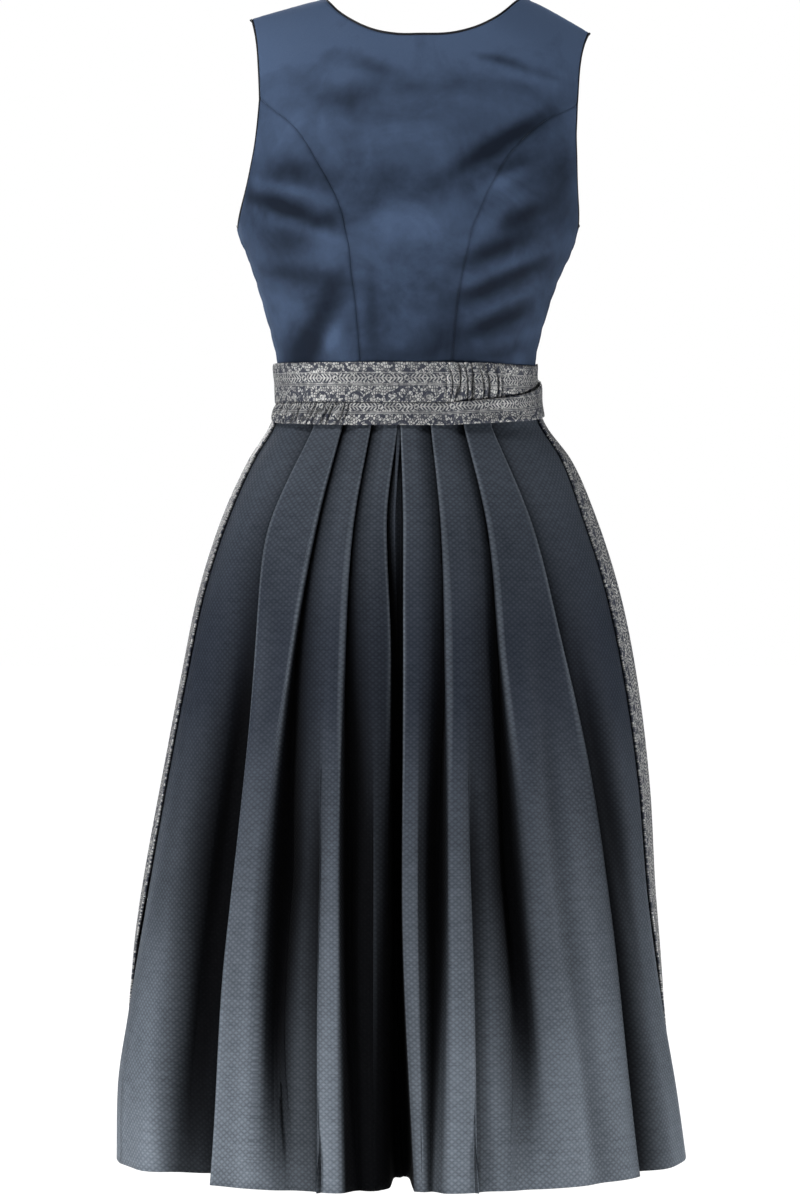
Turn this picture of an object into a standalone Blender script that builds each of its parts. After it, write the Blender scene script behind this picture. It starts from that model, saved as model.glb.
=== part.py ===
"""A dirndl as it is worn: velvet bodice in seven panels with piped edges, pleated skirt, apron and
its ties. Metres, +Z up, the front faces -Y, and the origin is midway between the tops of the
shoulder seams. Left and right are the wearer's, so left is +X. Angles run from the left side (0)
over the back (90 degrees) and the right side (180) to the front (270, or -90)."""

import math
from types import SimpleNamespace

import bpy
import numpy as np

# Thickness of each cloth, and the gap between pieces that are sewn together
VELVET = 0.0016
SKIRT_CLOTH = 0.0012
BROCADE = 0.0014
SEAM_GAP = 0.0003
PANEL_INSET = 0.00025       # how far a panel's border stays back from its seam line
PIPING_RADIUS = 0.0016
PIPING_SIDES = 6

# The heights that drive the cut
WAIST_Z = -0.3625
HEM_Z = -1.063
UNDERARM_Z = -0.209
SHOULDER_ROUND = 0.050      # the cloth bends over the shoulder within this height

# Where the side seams run, as angles
LEFT_SIDE = math.radians(8)
RIGHT_SIDE = math.radians(172)
SKIRT_LEFT_SEAM = math.radians(14)
SKIRT_RIGHT_SEAM = math.radians(170)


def columns(names, rows):
    """A table's rows as one array for each named column."""
    return SimpleNamespace(**dict(zip(names.split(), np.array(rows, float).T)))


# Outline of the garment at each height: edges seen from behind, and depths from the side seams.
# squareness 2 is an ellipse, and more is boxier.
FIGURE = columns("z left right back front squareness", [
    (-1.063, 0.282, -0.245, 0.229, 0.225, 2.10),
    (-1.000, 0.281, -0.236, 0.222, 0.218, 2.10),
    (-0.930, 0.271, -0.224, 0.210, 0.209, 2.10),
    (-0.830, 0.254, -0.210, 0.193, 0.196, 2.10),
    (-0.720, 0.235, -0.201, 0.177, 0.182, 2.10),
    (-0.620, 0.216, -0.187, 0.160, 0.167, 2.12),
    (-0.540, 0.199, -0.170, 0.142, 0.152, 2.15),
    (-0.470, 0.176, -0.148, 0.120, 0.134, 2.20),
    (-0.420, 0.153, -0.129, 0.100, 0.118, 2.25),
    (-0.386, 0.133, -0.108, 0.082, 0.105, 2.30),
    (WAIST_Z, 0.129, -0.103, 0.078, 0.102, 2.30),
    (-0.332, 0.131, -0.104, 0.079, 0.106, 2.30),
    (-0.290, 0.141, -0.1135, 0.086, 0.118, 2.30),
    (-0.250, 0.153, -0.1275, 0.098, 0.130, 2.30),
    (-0.230, 0.160, -0.137, 0.103, 0.128, 2.30),
    (UNDERARM_Z, 0.168, -0.1435, 0.106, 0.122, 2.30),
    (-0.160, 0.165, -0.149, 0.104, 0.104, 2.40),
    (-0.120, 0.162, -0.152, 0.095, 0.086, 2.40),
    (-0.050, 0.161, -0.154, 0.066, 0.056, 2.40),
    (0.030, 0.161, -0.156, 0.050, 0.044, 2.40),
])

# Top line of the shoulders; between the neck points it only guides how the neckline falls
SHOULDER_LINE = columns("x z", [
    (-0.170, -0.039), (-0.1532, -0.0295), (-0.0997, -0.0005), (-0.050, 0.018), (0.000, 0.023),
    (0.050, 0.013), (0.0932, 0.0), (0.155, -0.0175), (0.172, -0.023),
])
SHOULDER_TIP = {"left": (0.155, -0.0175), "right": (-0.1532, -0.0295)}
NECK_POINT = {"left": (0.0932, 0.0), "right": (-0.0997, -0.0005)}

# Seams and edges of the bodice as they are seen flat from behind or from the front: (x, z)
BACK_NECK = [
    NECK_POINT["left"], (0.078, -0.013), (0.058, -0.027), (0.033, -0.0355), (0.000, -0.037),
    (-0.030, -0.0355), (-0.055, -0.028), (-0.076, -0.015), NECK_POINT["right"],
]
FRONT_NECK = {
    "left": [NECK_POINT["left"], (0.086, -0.040), (0.082, -0.085), (0.072, -0.126),
             (0.045, -0.159), (0.004, -0.170)],
    "right": [NECK_POINT["right"], (-0.089, -0.041), (-0.083, -0.086), (-0.071, -0.127),
              (-0.040, -0.159), (0.004, -0.170)],
}
CENTRE_FRONT = [(0.004, -0.170), (0.009, -0.260), (0.013, WAIST_Z)]
BACK_ARMHOLE_UPPER = {
    "left": [SHOULDER_TIP["left"], (0.1487, -0.039), (0.1463, -0.068), (0.1452, -0.093)],
    "right": [SHOULDER_TIP["right"], (-0.147, -0.042), (-0.143, -0.061), (-0.1400, -0.098)],
}
BACK_ARMHOLE_LOWER = {
    "left": [(0.1452, -0.093), (0.1475, -0.119), (0.1515, -0.146), (0.1585, -0.177)],
    "right": [(-0.1400, -0.098), (-0.1390, -0.120), (-0.1395, -0.146), (-0.1410, -0.180)],
}
BACK_PRINCESS = {
    "left": [(0.1452, -0.093), (0.116, -0.119), (0.093, -0.154), (0.076, -0.186),
             (0.067, -0.219), (0.063, -0.250), (0.059, -0.282), (0.055, -0.332),
             (0.053, WAIST_Z)],
    "right": [(-0.1400, -0.098), (-0.114, -0.113), (-0.083, -0.141), (-0.063, -0.173),
              (-0.052, -0.198), (-0.044, -0.218), (-0.036, -0.255), (-0.031, -0.290),
              (-0.028, -0.332), (-0.027, WAIST_Z)],
}
FRONT_ARMHOLE_UPPER = {
    "left": [SHOULDER_TIP["left"], (0.146, -0.045), (0.139, -0.080), (0.1375, -0.108)],
    "right": [SHOULDER_TIP["right"], (-0.144, -0.052), (-0.136, -0.085), (-0.1335, -0.110)],
}
FRONT_ARMHOLE_LOWER = {
    "left": [(0.1375, -0.108), (0.140, -0.140), (0.148, -0.172), (0.159, -0.195)],
    "right": [(-0.1335, -0.110), (-0.1345, -0.140), (-0.138, -0.172), (-0.1415, -0.195)],
}
FRONT_PRINCESS = {
    "left": [(0.1375, -0.108), (0.119, -0.150), (0.103, -0.195), (0.092, -0.235),
             (0.080, -0.275), (0.066, -0.320), (0.058, WAIST_Z)],
    "right": [(-0.1335, -0.110), (-0.110, -0.150), (-0.090, -0.195), (-0.077, -0.235),
              (-0.062, -0.275), (-0.044, -0.320), (-0.035, WAIST_Z)],
}

# Heights of the skirt's rows, waist to hem
SKIRT_ROWS = np.array([
    WAIST_Z - 0.0005, -0.390, -0.425, -0.470, -0.530, -0.600, -0.690, -0.800, -0.930, HEM_Z,
])
KNEE_Z = -0.800
FOLD_LEVELS = np.array([-0.390, -0.480, -0.600, KNEE_Z, HEM_Z])

# Back pleats from the wearer's left to the right. toward +1 has its crisp edge on the right and
# lies over the next pleat, -1 the other way round. x0 to x4 are that edge at the fold levels.
# tuck is how far the cloth goes under at the waist; knee and hem are how deep the valley is there.
# low_knee and low_hem are how far the crisp edge itself stands back from the outline.
BACK_FOLDS = columns("toward x0 x1 x2 x3 x4 tuck knee hem low_knee low_hem", [
    (-1, 0.097, 0.137, 0.149, 0.169, 0.188, 0.009, 0.045, 0.068, 0, 0),
    (+1, 0.072, 0.095, 0.117, 0.138, 0.146, 0.009, 0.034, 0.008, 0, 0),
    (+1, 0.046, 0.062, 0.070, 0.074, 0.071, 0.010, 0.026, 0.012, 0, 0),
    (+1, 0.022, 0.032, 0.028, 0.028, 0.030, 0.010, 0.052, 0.070, 0.008, 0.024),
    (-1, 0.0185, 0.016, 0.016, 0.017, 0.006, 0.010, 0.055, 0.078, 0.003, 0.014),
    (-1, -0.009, -0.018, -0.022, -0.024, -0.021, 0.010, 0.022, 0.008, 0, 0),
    (-1, -0.039, -0.060, -0.072, -0.095, -0.118, 0.009, 0.030, 0.008, 0, 0),
    (+1, -0.063, -0.100, -0.128, -0.169, -0.199, 0.009, 0.038, 0.022, 0, 0),
])
# Front pleats are even and point to the centre front.
FRONT_FOLD_COUNT = 10
FRONT_TUCK = 0.010
FRONT_KNEE_DEPTH = 0.022
FRONT_HEM_DEPTH = 0.026
PLEAT_LAYER = 0.0026        # from one layer of a pleat to the next at the waist
# One pleat while it is shut at the waist, as (ways under the crisp edge in tucks, layers down)
SHUT_PLEAT = np.array([(-1.15, 0.15), (0, 0), (0, 1), (-1, 1), (-1, 2), (0, 2)])
# The same points where it stands open, as (ways in shares of the panel that ends in the edge or of
# the valley behind it, depths in shares of the valley's)
OPEN_PLEAT = np.array([(-0.45, 0.03), (0, 0), (0.05, 0.42), (0.09, 0.85), (0.18, 1), (0.30, 0.56)])
VALLEY_MOUTH = 0.002        # a shut pleat's last point lies this far past its edge
PLEAT_OPENING = columns("z open depth_share", [
    (HEM_Z, 1.00, 1.0), (KNEE_Z, 1.00, 1.0), (-0.690, 0.80, 0.85), (-0.600, 0.50, 0.62),
    (-0.530, 0.30, 0.40), (-0.470, 0.14, 0.22), (-0.390, 0.00, 0.00), (-0.350, 0.00, 0.00),
])

# Apron
APRON_TOP_Z = -0.3692
APRON_HEM_Z = -1.028
APRON_ROWS = np.array([APRON_TOP_Z, -0.388, -0.430, -0.490, -0.580, -0.700, -0.820, -0.930,
                       APRON_HEM_Z])
APRON_GATHERS = 16
APRON_FOLDS = 7
APRON_COLUMNS = 64
# gather and fold are the height of the small waves and of the broad ones, and stand how far the
# middle lies off the outline. The side edges lie at left_end and right_end, in degrees, and stand
# off by left_stand and right_stand, without waves.
APRON = columns("z gather fold stand left_end left_stand right_end right_stand", [
    (-1.028, 0.0000, 0.0060, 0.0100, -22, 0.0060, -160, 0.0060),
    (-0.930, 0.0003, 0.0055, 0.0095, -12, 0.0055, -171, 0.0055),
    (-0.820, 0.0006, 0.0045, 0.0088, 1, 0.0055, -182, 0.0070),
    (-0.700, 0.0010, 0.0034, 0.0080, 4, 0.0042, -184, 0.0100),
    (-0.580, 0.0015, 0.0022, 0.0073, 4, 0.0038, -184, 0.0125),
    (-0.490, 0.0018, 0.0012, 0.0066, 4, 0.0036, -184, 0.0130),
    (-0.430, 0.0018, 0.0004, 0.0056, 3, 0.0036, -183, 0.0100),
    (-0.388, 0.0012, 0.0000, 0.0042, 2, 0.0036, -182, 0.0045),
    (-0.369, 0.0008, 0.0000, 0.0036, 2, 0.0036, -182, 0.0036),
])
APRON_SIDE_SHARE = 0.12     # each side edge's stand fades into the middle's over this much width

# Waistband and ties lie in layers on the waist; these are the distances from the outline
FIRST_LAYER = 0.0027
SECOND_LAYER = 0.0047
THIRD_LAYER = 0.0072
BAND_TOP_Z = -0.3325
BAND_BOTTOM_Z = -0.3688
RUCHE_HEIGHT = 0.0024
RUCHE_WAVE = 0.0068
RUCHED_STEP = 1.05          # degrees between a tie's points where it is ruched
FLAT_STEP = 5               # and where it is flat
BAND_ANGLES = np.linspace(-182, 2, 31)

# The upper tie is sewn to the right end of the waistband and runs over the back to the left. The
# lower one starts at the left end. ruche is how much of the full ruching height there is.
UPPER_TIE = columns("angle top bottom stand ruche", [
    (-82, -0.338, -0.368, SECOND_LAYER, 0),
    (-30, -0.3335, -0.3690, SECOND_LAYER, 0),
    (5, -0.3325, -0.3688, SECOND_LAYER, 0),
    (22, -0.3325, -0.3688, FIRST_LAYER, 0),
    (100, -0.3325, -0.3688, FIRST_LAYER, 0),
    (109, -0.3330, -0.3688, FIRST_LAYER, 1),
    (128, -0.3335, -0.3688, FIRST_LAYER, 1),
    (140, -0.3345, -0.3688, FIRST_LAYER, 0),
    (175, -0.3350, -0.3688, FIRST_LAYER, 0),
])
LOWER_TIE = columns("angle top bottom stand ruche", [
    (7, -0.3700, -0.3855, FIRST_LAYER, 1),
    (20, -0.3694, -0.3870, FIRST_LAYER, 1),
    (64, -0.3694, -0.3890, FIRST_LAYER, 1),
    (72, -0.3694, -0.3895, FIRST_LAYER, 0),
    (104, -0.3694, -0.3895, FIRST_LAYER, 0),
    (112, -0.3680, -0.3885, THIRD_LAYER, 0),
    (150, -0.3607, -0.3850, THIRD_LAYER, 0),
    (180, -0.3500, -0.3800, THIRD_LAYER, 0),
    (220, -0.3400, -0.3735, THIRD_LAYER, 0),
    (262, -0.3380, -0.3700, THIRD_LAYER, 0),
])
TIE_STEPS = 2               # cells across a tie
KNOT = SimpleNamespace(width=0.034, height=0.038, depth=0.013, x=0.013, z=-0.3485, rim=0.003,
                       waist=0.18, crown=0.10, roundness=0.92, cells=8)
TAIL_WIDTH = 0.036
TAIL_ROWS = 12
TAIL_COLUMNS = 4
TAIL_NECK = 0.45            # share of its width that a tie end has where it leaves the knot
TAIL_OPENS_BY = 0.25        # share of its length within which it opens to the full width
TAIL_CURL = 0.0015
TAIL_CLEARANCE = 0.0020
# Each tie end that hangs from the knot: middle at the knot and at its lower end
TAILS = {
    "left": SimpleNamespace(top_x=0.023, end_x=0.052, end_z=-0.700),
    "right": SimpleNamespace(top_x=0.003, end_x=-0.030, end_z=-0.660),
}

VELVET_BLUE = (0.045, 0.085, 0.150, 1)
PIPING_BLACK = (0.012, 0.013, 0.018, 1)
SKIRT_GREY = (0.030, 0.036, 0.050, 1)
BROCADE_SILVER = (0.250, 0.250, 0.240, 1)
VELVET_ROUGHNESS, PIPING_ROUGHNESS, SKIRT_ROUGHNESS, BROCADE_ROUGHNESS = 0.85, 0.6, 0.7, 0.5


def clear_scene():
    for thing in list(bpy.data.objects):
        bpy.data.objects.remove(thing, do_unlink=True)


def smooth(knots, values, at):
    """A smooth curve through the values that never swings past them (cubic Hermite)."""
    step = np.diff(knots)
    rise = np.diff(values) / step
    inner = 0.5 * (rise[:-1] + rise[1:])
    limit = 3 * np.minimum(np.abs(rise[:-1]), np.abs(rise[1:]))
    inner = np.where(rise[:-1] * rise[1:] <= 0, 0, np.clip(inner, -limit, limit))
    slope = np.concatenate([rise[:1], inner, rise[-1:]])
    at = np.clip(at, knots[0], knots[-1])
    i = np.clip(np.searchsorted(knots, at, side="right") - 1, 0, len(step) - 1)
    t = (at - knots[i]) / step[i]
    start = (1 + 2 * t) * (1 - t) ** 2 * values[i] + t * (1 - t) ** 2 * step[i] * slope[i]
    end = t * t * (3 - 2 * t) * values[i + 1] + t * t * (t - 1) * step[i] * slope[i + 1]
    return start + end


def signed_power(value, power):
    return np.sign(value) * np.abs(value) ** power


def unit(vectors):
    return vectors / np.linalg.norm(vectors, axis=-1, keepdims=True)


def outline(angle, z):
    """Point of the garment's outline at an angle and height, before the shoulders close it."""
    angle, z = np.broadcast_arrays(np.asarray(angle, float), np.asarray(z, float))
    left, right = smooth(FIGURE.z, FIGURE.left, z), smooth(FIGURE.z, FIGURE.right, z)
    power = 2 / smooth(FIGURE.z, FIGURE.squareness, z)
    back, front = smooth(FIGURE.z, FIGURE.back, z), smooth(FIGURE.z, FIGURE.front, z)
    x = (left + right) / 2 + (left - right) / 2 * signed_power(np.cos(angle), power)
    y = np.where(np.sin(angle) > 0, back, front) * signed_power(np.sin(angle), power)
    return np.stack([x, y, z], axis=-1)


def angle_of(x, z, face):
    """Angle at which the outline has this x; face is +1 on the back and -1 on the front."""
    left, right = smooth(FIGURE.z, FIGURE.left, z), smooth(FIGURE.z, FIGURE.right, z)
    share = np.clip((x - (left + right) / 2) / ((left - right) / 2), -1, 1)
    return face * np.arccos(signed_power(share, smooth(FIGURE.z, FIGURE.squareness, z) / 2))


# Bodice. A place on it is (angle, fall): fall is the way down from the shoulder line on the cloth.

QUARTER = SHOULDER_ROUND * math.pi / 2
PLACE_SCALE = np.array([0.15, 1.0])     # makes a step of an angle about as long as one of a fall
EVENING_ROUNDS = 300


def fall_of(x, z, face):
    drop = max(smooth(SHOULDER_LINE.x, SHOULDER_LINE.z, x) - z, 0)
    if drop < SHOULDER_ROUND:
        return SHOULDER_ROUND * math.acos(1 - drop / SHOULDER_ROUND)
    return QUARTER + drop - SHOULDER_ROUND


def bodice_point(angle, fall):
    over = np.minimum(fall, QUARTER) / SHOULDER_ROUND
    drop = SHOULDER_ROUND * (1 - np.cos(over)) + np.maximum(fall - QUARTER, 0)
    z = -drop
    for _ in range(6):
        x = outline(angle, z)[..., 0]
        z = smooth(SHOULDER_LINE.x, SHOULDER_LINE.z, x) - drop
    place = outline(angle, z)
    place[..., 1] *= np.sin(over)
    return place


def bodice_normal(angle, fall):
    nudge = 1e-4
    lower = np.maximum(fall - nudge, 0)
    down = bodice_point(angle, fall + nudge) - bodice_point(angle, lower)
    across = bodice_point(angle + nudge, np.maximum(fall, nudge)) - bodice_point(
        angle - nudge, np.maximum(fall, nudge)
    )
    return unit(np.cross(down, across))


def places(rows, face, turn=0.0):
    """Table rows (x, z) as (angle, fall); turn moves the front's right half past -180 degrees."""
    return [(float(angle_of(x, z, face)) + turn, fall_of(x, z, face)) for x, z in rows]


def side_place(side, face, z):
    """A place on the side seam, with the angle that suits the back or the front."""
    angle = LEFT_SIDE if side == "left" else RIGHT_SIDE
    if side == "right" and face < 0:
        angle -= 2 * math.pi
    x = float(outline(angle, z)[0])
    return angle, fall_of(x, z, face)


def along(route, cells):
    """Evenly spaced places on a smooth line through the route's places, ends included."""
    route = np.array(route)
    steps = np.linalg.norm(np.diff(bodice_point(route[:, 0], route[:, 1]), axis=0), axis=1)
    knots = np.concatenate([[0], np.cumsum(steps)])
    fine = np.linspace(0, knots[-1], 40 * len(route))
    line = np.stack([smooth(knots, route[:, 0], fine), smooth(knots, route[:, 1], fine)], axis=1)
    steps = np.linalg.norm(np.diff(bodice_point(line[:, 0], line[:, 1]), axis=0), axis=1)
    length = np.concatenate([[0], np.cumsum(steps)])
    even = np.linspace(0, length[-1], cells + 1)
    return np.stack([np.interp(even, length, line[:, k]) for k in (0, 1)], axis=1)


def joined(*runs):
    """Runs that follow each other, with each shared end kept once."""
    return np.concatenate([runs[0]] + [run[1:] for run in runs[1:]])


def filled(top, bottom, left, right):
    """Places all over a panel between its four edges (a Coons patch)."""
    s = np.linspace(0, 1, len(top))[None, :, None]
    t = np.linspace(0, 1, len(left))[:, None, None]
    across = (1 - s) * left[:, None] + s * right[:, None]
    down = (1 - t) * top[None] + t * bottom[None]
    corners = (1 - t) * ((1 - s) * top[0] + s * top[-1]) + t * ((1 - s) * bottom[0] + s * bottom[-1])
    return across + down - corners


def evened(grid):
    """The grid's inner places moved until its lines run smoothly and nowhere cross."""
    grid = grid * PLACE_SCALE
    for _ in range(EVENING_ROUNDS):
        across = (grid[1:-1, 2:] - grid[1:-1, :-2]) / 2
        down = (grid[2:, 1:-1] - grid[:-2, 1:-1]) / 2
        corner = (grid[2:, 2:] - grid[2:, :-2] - grid[:-2, 2:] + grid[:-2, :-2]) / 4
        a = np.sum(down * down, axis=-1, keepdims=True)
        b = np.sum(across * down, axis=-1, keepdims=True)
        c = np.sum(across * across, axis=-1, keepdims=True)
        beside = grid[1:-1, 2:] + grid[1:-1, :-2]
        above = grid[2:, 1:-1] + grid[:-2, 1:-1]
        grid[1:-1, 1:-1] = (a * beside + c * above - 2 * b * corner) / (2 * (a + c))
    return grid / PLACE_SCALE


def pulled_in(points, inset):
    """A panel's border moved in, so that it stays clear of its neighbour."""
    points = points.copy()
    for edge, inner in ((np.s_[0], np.s_[1]), (np.s_[-1], np.s_[-2]),
                        (np.s_[:, 0], np.s_[:, 1]), (np.s_[:, -1], np.s_[:, -2])):
        points[edge] += inset * unit(points[inner] - points[edge])
    return points


def paint(name, colour, roughness):
    material = bpy.data.materials.get(name) or bpy.data.materials.new(name)
    material.use_nodes = True
    shader = material.node_tree.nodes["Principled BSDF"]
    shader.inputs["Base Color"].default_value = colour
    shader.inputs["Roughness"].default_value = roughness
    shader.inputs["Metallic"].default_value = 0.0
    return material


def add_solid(name, points, faces, material):
    """One closed body as an object. The faces are turned round if they enclose it inside out."""
    points = np.asarray(points, float)
    tetrahedra = [np.dot(points[f[0]], np.cross(points[f[i]], points[f[i + 1]]))
                  for f in faces for i in range(1, len(f) - 1)]
    if sum(tetrahedra) < 0:
        faces = [face[::-1] for face in faces]
    mesh = bpy.data.meshes.new(name)
    mesh.from_pydata(points.tolist(), [], faces)
    mesh.shade_smooth()
    mesh.set_sharp_from_angle(angle=math.radians(40))
    mesh.materials.append(material)
    thing = bpy.data.objects.new(name, mesh)
    bpy.context.collection.objects.link(thing)


def add_wall(name, outer, inner, material):
    """Cloth between two grids of points, with its four edges closed."""
    rows, cols = outer.shape[:2]
    points = np.concatenate([outer.reshape(-1, 3), inner.reshape(-1, 3)])
    index = np.arange(rows * cols).reshape(rows, cols)
    inside = index + rows * cols
    faces = []
    for r in range(rows - 1):
        for c in range(cols - 1):
            quad = [index[r, c], index[r, c + 1], index[r + 1, c + 1], index[r + 1, c]]
            faces.append([int(i) for i in quad])
            faces.append([int(i) + rows * cols for i in quad[::-1]])
    border = [*index[0, :-1], *index[:-1, -1], *index[-1, :0:-1], *index[:0:-1, 0]]
    lining = [*inside[0, :-1], *inside[:-1, -1], *inside[-1, :0:-1], *inside[:0:-1, 0]]
    for k in range(len(border)):
        after = (k + 1) % len(border)
        faces.append([int(border[after]), int(border[k]), int(lining[k]), int(lining[after])])
    add_solid(name, points, faces, material)


def add_tube(name, centres, towards, normals, radius, material):
    """A closed ring of round cord through the centres."""
    turns = np.linspace(0, 2 * math.pi, PIPING_SIDES, endpoint=False)
    ring = (centres[:, None] + radius * (np.cos(turns)[None, :, None] * towards[:, None]
                                         + np.sin(turns)[None, :, None] * normals[:, None]))
    count = len(centres)
    faces = []
    for k in range(count):
        for j in range(PIPING_SIDES):
            here, there = k * PIPING_SIDES, (k + 1) % count * PIPING_SIDES
            after = (j + 1) % PIPING_SIDES
            faces.append([here + j, here + after, there + after, there + j])
    add_solid(name, ring.reshape(-1, 3), faces, material)


SHOULDER_CELLS = 5
BACK_NECK_CELLS = 9
FRONT_NECK_CELLS = 9
ARMHOLE_UPPER_CELLS = 5
ARMHOLE_LOWER_CELLS = 5
PRINCESS_CELLS = 10
SIDE_SEAM_CELLS = PRINCESS_CELLS - ARMHOLE_LOWER_CELLS
CENTRE_FRONT_CELLS = ARMHOLE_UPPER_CELLS + PRINCESS_CELLS - FRONT_NECK_CELLS
SIDE_PANEL_CELLS = 5
POINT_TRIM = 0.12           # a side panel's top point stops this share of a cell down its edges


def bodice_lines():
    """Every seam and edge of the bodice as evenly spaced places."""
    lines = SimpleNamespace(side={})
    lines.back_neck = along(places(BACK_NECK, 1), BACK_NECK_CELLS)
    for side in ("left", "right"):
        line = SimpleNamespace()
        tip, neck = SHOULDER_TIP[side], NECK_POINT[side]
        line.shoulder = along(places([tip, neck], 1), SHOULDER_CELLS)
        line.back_armhole_upper = along(places(BACK_ARMHOLE_UPPER[side], 1), ARMHOLE_UPPER_CELLS)
        underarm = side_place(side, 1, UNDERARM_Z)
        line.back_armhole_lower = along(places(BACK_ARMHOLE_LOWER[side], 1) + [underarm],
                                        ARMHOLE_LOWER_CELLS)
        line.back_princess = along(places(BACK_PRINCESS[side], 1), PRINCESS_CELLS)
        line.back_side = along([underarm, side_place(side, 1, WAIST_Z)], SIDE_SEAM_CELLS)
        line.front_shoulder = line.shoulder * [-1, 1]
        line.front_neck = along(places(FRONT_NECK[side], -1), FRONT_NECK_CELLS)
        line.front_armhole_upper = along(places(FRONT_ARMHOLE_UPPER[side], -1),
                                         ARMHOLE_UPPER_CELLS)
        underarm = side_place(side, -1, UNDERARM_Z)
        line.front_armhole_lower = along(places(FRONT_ARMHOLE_LOWER[side], -1) + [underarm],
                                         ARMHOLE_LOWER_CELLS)
        line.front_princess = along(places(FRONT_PRINCESS[side], -1), PRINCESS_CELLS)
        line.front_side = along([underarm, side_place(side, -1, WAIST_Z)], SIDE_SEAM_CELLS)
        line.centre_front = along(places(CENTRE_FRONT, -1), CENTRE_FRONT_CELLS)
        lines.side[side] = line
    return lines


def add_panel(name, top, bottom, left, right, material):
    spots = evened(filled(top, bottom, left, right))
    points = pulled_in(bodice_point(spots[..., 0], spots[..., 1]), PANEL_INSET)
    normals = bodice_normal(spots[..., 0], spots[..., 1])
    add_wall(name, points + VELVET * normals, points, material)


def straight_run(start, end, cells):
    return np.stack([np.linspace(a, b, cells + 1) for a, b in zip(start, end)], axis=1)


def waist_run(start, end, cells):
    """Places along the level waist seam, from one seam's lower end to the next."""
    angles = np.linspace(start[0], end[0], cells + 1)
    falls = [fall_of(float(outline(angle, WAIST_Z)[0]), WAIST_Z, 1) for angle in angles]
    return np.stack([angles, falls], axis=1)


def add_bodice(lines, velvet):
    left, right = lines.side["left"], lines.side["right"]
    top = joined(left.shoulder, lines.back_neck, right.shoulder[::-1])
    sides = [joined(line.back_armhole_upper, line.back_princess) for line in (left, right)]
    add_panel("bodice_back", top, waist_run(sides[0][-1], sides[1][-1], len(top) - 1),
              sides[0], sides[1], velvet)
    for side, line in lines.side.items():
        for face in ("back", "front"):
            princess = getattr(line, face + "_princess").copy()
            princess[0] += POINT_TRIM * (princess[1] - princess[0])
            outer = joined(getattr(line, face + "_armhole_lower"), getattr(line, face + "_side"))
            outer[0] += POINT_TRIM * (outer[1] - outer[0])
            add_panel(f"bodice_side_{face}_{side}",
                      straight_run(outer[0], princess[0], SIDE_PANEL_CELLS),
                      waist_run(outer[-1], princess[-1], SIDE_PANEL_CELLS),
                      outer, princess, velvet)
        outer = joined(line.front_armhole_upper, line.front_princess)
        inner = joined(line.front_neck, line.centre_front)
        add_panel(f"bodice_front_{side}", line.front_shoulder,
                  waist_run(outer[-1], inner[-1], SHOULDER_CELLS), outer, inner, velvet)


def add_piping(name, spots, sign, material):
    """A cord along an open edge: it lies past the edge, in the middle of the cloth."""
    points = bodice_point(spots[:, 0], spots[:, 1])
    normals = bodice_normal(spots[:, 0], spots[:, 1])
    along_edge = unit(np.roll(points, -1, axis=0) - np.roll(points, 1, axis=0))
    away = unit(sign * np.cross(normals, along_edge))
    centres = points + normals * VELVET / 2 + away * (PIPING_RADIUS + SEAM_GAP / 2)
    add_tube(name, centres, away, unit(np.cross(along_edge, away)), PIPING_RADIUS, material)


def add_all_piping(lines, black):
    left, right = lines.side["left"], lines.side["right"]
    neck = joined(lines.back_neck, right.front_neck, left.front_neck[::-1])[:-1]
    add_piping("neck_piping", neck, 1, black)
    for side, line in lines.side.items():
        front = joined(line.front_armhole_upper, line.front_armhole_lower)[::-1]
        ring = joined(line.back_armhole_upper, line.back_armhole_lower, front)[:-1]
        add_piping(f"armhole_piping_{side}", ring, -1 if side == "left" else 1, black)


# Skirt. Each row is one line round the garment, pleats and all, in the level plane.


class Round:
    """The outline at one height, measured along it from the left side over the back."""

    def __init__(self, z):
        self.angles = np.linspace(-2 * math.pi, 2 * math.pi, 1441)
        self.line = outline(self.angles, z)
        steps = np.linalg.norm(np.diff(self.line, axis=0), axis=1)
        length = np.concatenate([[0], np.cumsum(steps)])
        self.way = length - np.interp(0.0, self.angles, length)

    def way_at(self, angle):
        return np.interp(angle, self.angles, self.way)

    def point(self, way, out):
        here = np.stack([np.interp(way, self.way, self.line[:, k]) for k in range(3)], axis=-1)
        reach = 0.001
        ahead = [np.interp(way + reach, self.way, self.line[:, k])
                 - np.interp(way - reach, self.way, self.line[:, k]) for k in (0, 1)]
        normal = unit(np.stack([ahead[1], -ahead[0], np.zeros_like(ahead[0])], axis=-1))
        return here + normal * np.asarray(out)[..., None]


def fold_points(fold, valley, panel, opened, depth):
    """Six points of one pleat as (way past its crisp edge, depth below the outline): from the
    panel that ends in the crisp edge, round under it, to the far side of the valley."""
    shut = SHUT_PLEAT * [fold.tuck, PLEAT_LAYER]
    shut[-1, 0] = min(VALLEY_MOUTH, 0.35 * valley)
    wide = OPEN_PLEAT * [valley, depth]
    wide[0, 0] = OPEN_PLEAT[0, 0] * panel
    mixed = (1 - opened) * shut + opened * wide
    mixed[2:, 1] = np.maximum(mixed[2:, 1], shut[2:, 1])
    return mixed


def between_levels(z, at_knee, at_hem):
    """A fold's size at a height, from its sizes at the knee and at the hem."""
    return float(smooth(np.array([HEM_Z, KNEE_Z]), np.array([at_hem, at_knee]), z))


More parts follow.
